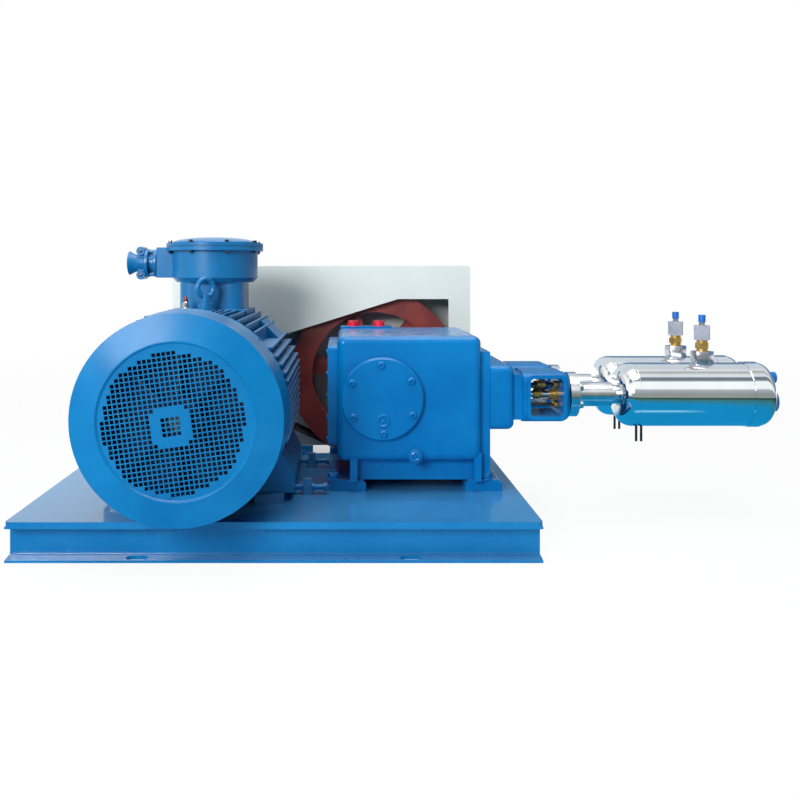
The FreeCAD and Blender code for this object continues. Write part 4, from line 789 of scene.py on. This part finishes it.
def makeStay(look):
    bm = bmesh.new()
    back, deck = deckBox.high.y - look["back"], deckBox.high.z + look["gap"]
    start = [bm.verts.new((look["left"], back + y, deck + z)) for y, z in look["section"]]
    grown = bmesh.ops.extrude_face_region(bm, geom=[bm.faces.new(start)])["geom"]
    bmesh.ops.translate(bm, vec=(look["right"] - look["left"], 0, 0),
                        verts=[item for item in grown if isinstance(item, bmesh.types.BMVert)])
    x, ahead, rise = look["boltAt"]
    boltHead(bm, facing((x, back + ahead, deck + rise), upward, look["turn"]), *look["bolt"])
    finished("belt_guard_stay", bm, skidPaint, crease=30.0)


makeStay(stay)

# weld beads: under the deck's lip and along the root of each long channel's web
bead = {"radius": 2.0, "steps": 150, "swell": 0.15, "sides": 8, "web": 31.5, "lip": 5.0,
        "root": 9.5, "inset": 8.0}


def makeBeads(look):
    bm = bmesh.new()
    left, right = deckBox.low.x + look["inset"], deckBox.high.x - look["inset"]
    stride = (right - left) / look["steps"]
    for front in (-1, 1):
        y = front * (deckBox.high.y - look["web"])
        for z in (deckBox.low.z - look["lip"], channelBox.low.z + look["root"]):
            across = Matrix.Translation((left, y, z)) @ Matrix.Rotation(math.pi / 2, 4, "Y")
            ring = bmesh.ops.create_circle(bm, segments=look["sides"], radius=look["radius"],
                                           matrix=across)["verts"]
            edges = list({edge for vert in ring for edge in vert.link_edges})
            for step in range(look["steps"]):
                grown = bmesh.ops.extrude_edge_only(bm, edges=edges)["geom"]
                ring = [item for item in grown if isinstance(item, bmesh.types.BMVert)]
                kept = set(ring)
                edges = [item for item in grown if isinstance(item, bmesh.types.BMEdge)
                         and kept.issuperset(item.verts)]
                size = 1 + look["swell"] if step % 2 else 1 / (1 + look["swell"])
                bmesh.ops.translate(bm, vec=(stride, 0, 0), verts=ring)
                for vert in ring:
                    vert.co.y = y + (vert.co.y - y) * size
                    vert.co.z = z + (vert.co.z - z) * size
    finished("skid_weld_beads", bm, skidPaint, crease=60.0)


makeBeads(bead)

print("pieces added")


# camera, as the photograph was taken
view = {"at": (145.3, -2119.0, 587.6), "lens": 39.15, "sensor": 36, "reach": 400,
        "shift": (0.06875, -0.15625)}
camera = bpy.data.objects.new("camera", bpy.data.cameras.new("camera"))
bpy.context.scene.collection.objects.link(camera)
camera.location = Vector(view["at"]) * mm
camera.rotation_euler = (math.pi / 2, 0, 0)
camera.data.sensor_width = view["sensor"]
camera.data.lens = view["lens"]
camera.data.shift_x, camera.data.shift_y = view["shift"]
camera.data.clip_end = view["reach"]
bpy.context.scene.camera = camera
bpy.context.scene.view_settings.view_transform = "Standard"


# stage and light, in metres. "mirrored" is what polished steel sees, from the front horizon
# up and over to the back, and "floorMirror" what it sees of the floor, by distance in metres.
# Both lists of tones were read from the photograph's vessels, against the rule on picture
# data, and report.md says so. Round "shadowAt" the floor shows the camera its own grey shade.
# The pairs are the values between which one thing fades into the next.
stage = {
    "floorSize": 240.0, "floorTone": (246, 248, 250), "showWhite": 0.93, "daylight": 0.13,
    "mirrorLevel": 1.22, "sideTone": (96, 132, 160), "leftTone": (204, 216, 224),
    "streakTone": (128, 208, 240), "farLeft": (-0.6, -0.8), "toRight": (-0.05, 0.16),
    "toLeft": (0.16, -0.05), "toBack": (-0.05, 0.1), "belowZenith": (0.6, 0.45),
    "mirrored": ((0.0, (147, 153, 148)), (0.045, (144, 150, 150)), (0.122, (172, 180, 184)),
                 (0.15, (250, 252, 252)), (0.285, (250, 252, 252)), (0.315, (126, 136, 144)),
                 (0.375, (108, 118, 128)), (0.41, (228, 234, 239)), (0.46, (217, 220, 220)),
                 (0.515, (168, 170, 166)), (0.565, (229, 230, 230)), (0.63, (204, 210, 217)),
                 (0.96, (212, 221, 228))),
    "floorMirror": ((1.0, (22, 138, 194)), (1.2, (42, 130, 160)), (1.7, (62, 116, 118)),
                    (2.3, (48, 76, 68)), (3.0, (43, 64, 55)), (4.0, (147, 153, 148))),
    "floorReach": 5.0, "floorCentre": (0.35, 0.0, 0.0), "backFade": (0.6, 1.6),
    "streakY": ((-0.325, -0.285), (-0.229, -0.269)), "streakX": ((0.7, 0.84), (1.12, 1.04)),
    "showFade": (1.6, 5.0), "shadowAt": (0.05, 0.85, 0.0), "shadowFade": (0.2, 0.42, 0.1, 1.0),
    "lamps": (((-2.0, -4.0, 2.1), 1.8, 197.0), ((0.3, -0.7, 4.2), 3.0, 130.0)),
    "lampAim": (0.2, 0.0, 0.3),
}
white = (1.0, 1.0, 1.0, 1.0)


def makeWorld(look):
    world = bpy.data.worlds.new("studio")
    bpy.context.scene.world = world
    world.use_nodes = True
    w = Finish("studio", world.node_tree)
    ray = w.node("ShaderNodeTexCoord", output="Generated")
    aside, ahead, rise = (w.axis(ray, number) for number in range(3))
    turn = w.node("ShaderNodeMath", {"operation": "ARCTAN2"}, {0: rise, 1: 0 - ahead})
    colour = w.ramp(turn * (1 / math.pi), look["mirrored"])
    colour = w.mixed(w.spread(aside, *look["farLeft"]), colour, white)
    behind = w.spread(ahead, *look["toBack"]) * w.spread(rise, *look["belowZenith"])
    for side, shade in (("toRight", "sideTone"), ("toLeft", "leftTone")):
        colour = w.mixed(w.spread(aside, *look[side]) * behind, colour, tone(*look[shade]))
    levels = ((white, look["daylight"]), (colour, look["mirrorLevel"]), (white, 1.0))
    plain, mirrored, bright = (
        w.node("ShaderNodeBackground", {}, {"Color": shade, "Strength": level})
        for shade, level in levels)
    seen = w.mixedShader(w.rayIs("Glossy"), plain, mirrored)
    seen = w.mixedShader(w.rayIs("Camera") + w.rayIs("Transmission"), seen, bright)
    w.node("ShaderNodeOutputWorld", {}, {"Surface": seen})


def makeFloor(look):
    bm = bmesh.new()
    bmesh.ops.create_grid(bm, x_segments=1, y_segments=1, size=look["floorSize"] / 2)
    mesh = bpy.data.meshes.new("floor")
    bm.to_mesh(mesh)
    bm.free()
    floor = bpy.data.objects.new("floor", mesh)
    bpy.context.scene.collection.objects.link(floor)
    f = Finish("floor")
    where = f.node("ShaderNodeTexCoord", output="Object")
    side, behind = f.axis(where, 0), f.axis(where, 1)
    far = f.distance(where, look["floorCentre"])
    reach = look["floorReach"]
    stops = [(place / reach, shade) for place, shade in look["floorMirror"]]
    near = f.ramp(far * (1 / reach), stops)
    near = f.mixed(f.spread(behind, *look["backFade"]), near, white)
    # A strip of the floor glows in "streakTone" for glossy rays only: a painted reflection that
    # lays a light streak along the polished vessels' lower side.
    fades = [f.spread(behind, *pair) for pair in look["streakY"]]
    fades += [f.spread(side, *pair) for pair in look["streakX"]]
    streak = fades[0] * fades[1] * fades[2] * fades[3]
    near = f.mixed(streak, near, tone(*look["streakTone"]))
    matt = f.node("ShaderNodeBsdfDiffuse", {}, {"Color": tone(*look["floorTone"])})
    lit = f.node("ShaderNodeEmission", {}, {"Color": white, "Strength": 1.0})
    mirrored = f.node("ShaderNodeEmission", {}, {"Color": near, "Strength": look["mirrorLevel"]})
    clear = f.spread(far, *look["showFade"], look["showWhite"], 1.0)
    clear = clear * f.spread(f.distance(where, look["shadowAt"]), *look["shadowFade"])
    shown = f.mixedShader((f.rayIs("Camera") + f.rayIs("Transmission")) * clear, matt, lit)
    shown = f.mixedShader(f.rayIs("Glossy"), shown, mirrored)
    f.node("ShaderNodeOutputMaterial", {}, {"Surface": shown})
    mesh.materials.append(f.material)


def makeLamps(look):
    for number, (place, size, power) in enumerate(look["lamps"]):
        lamp = bpy.data.lights.new("lamp%d" % number, "AREA")
        lamp.size, lamp.energy = size, power
        thing = bpy.data.objects.new("lamp%d" % number, lamp)
        bpy.context.scene.collection.objects.link(thing)
        thing.location = place
        aim = Vector(look["lampAim"]) - Vector(place)
        thing.rotation_euler = aim.to_track_quat("-Z", "Y").to_euler()


makeWorld(stage)
makeFloor(stage)
makeLamps(stage)
print("stage and light made")
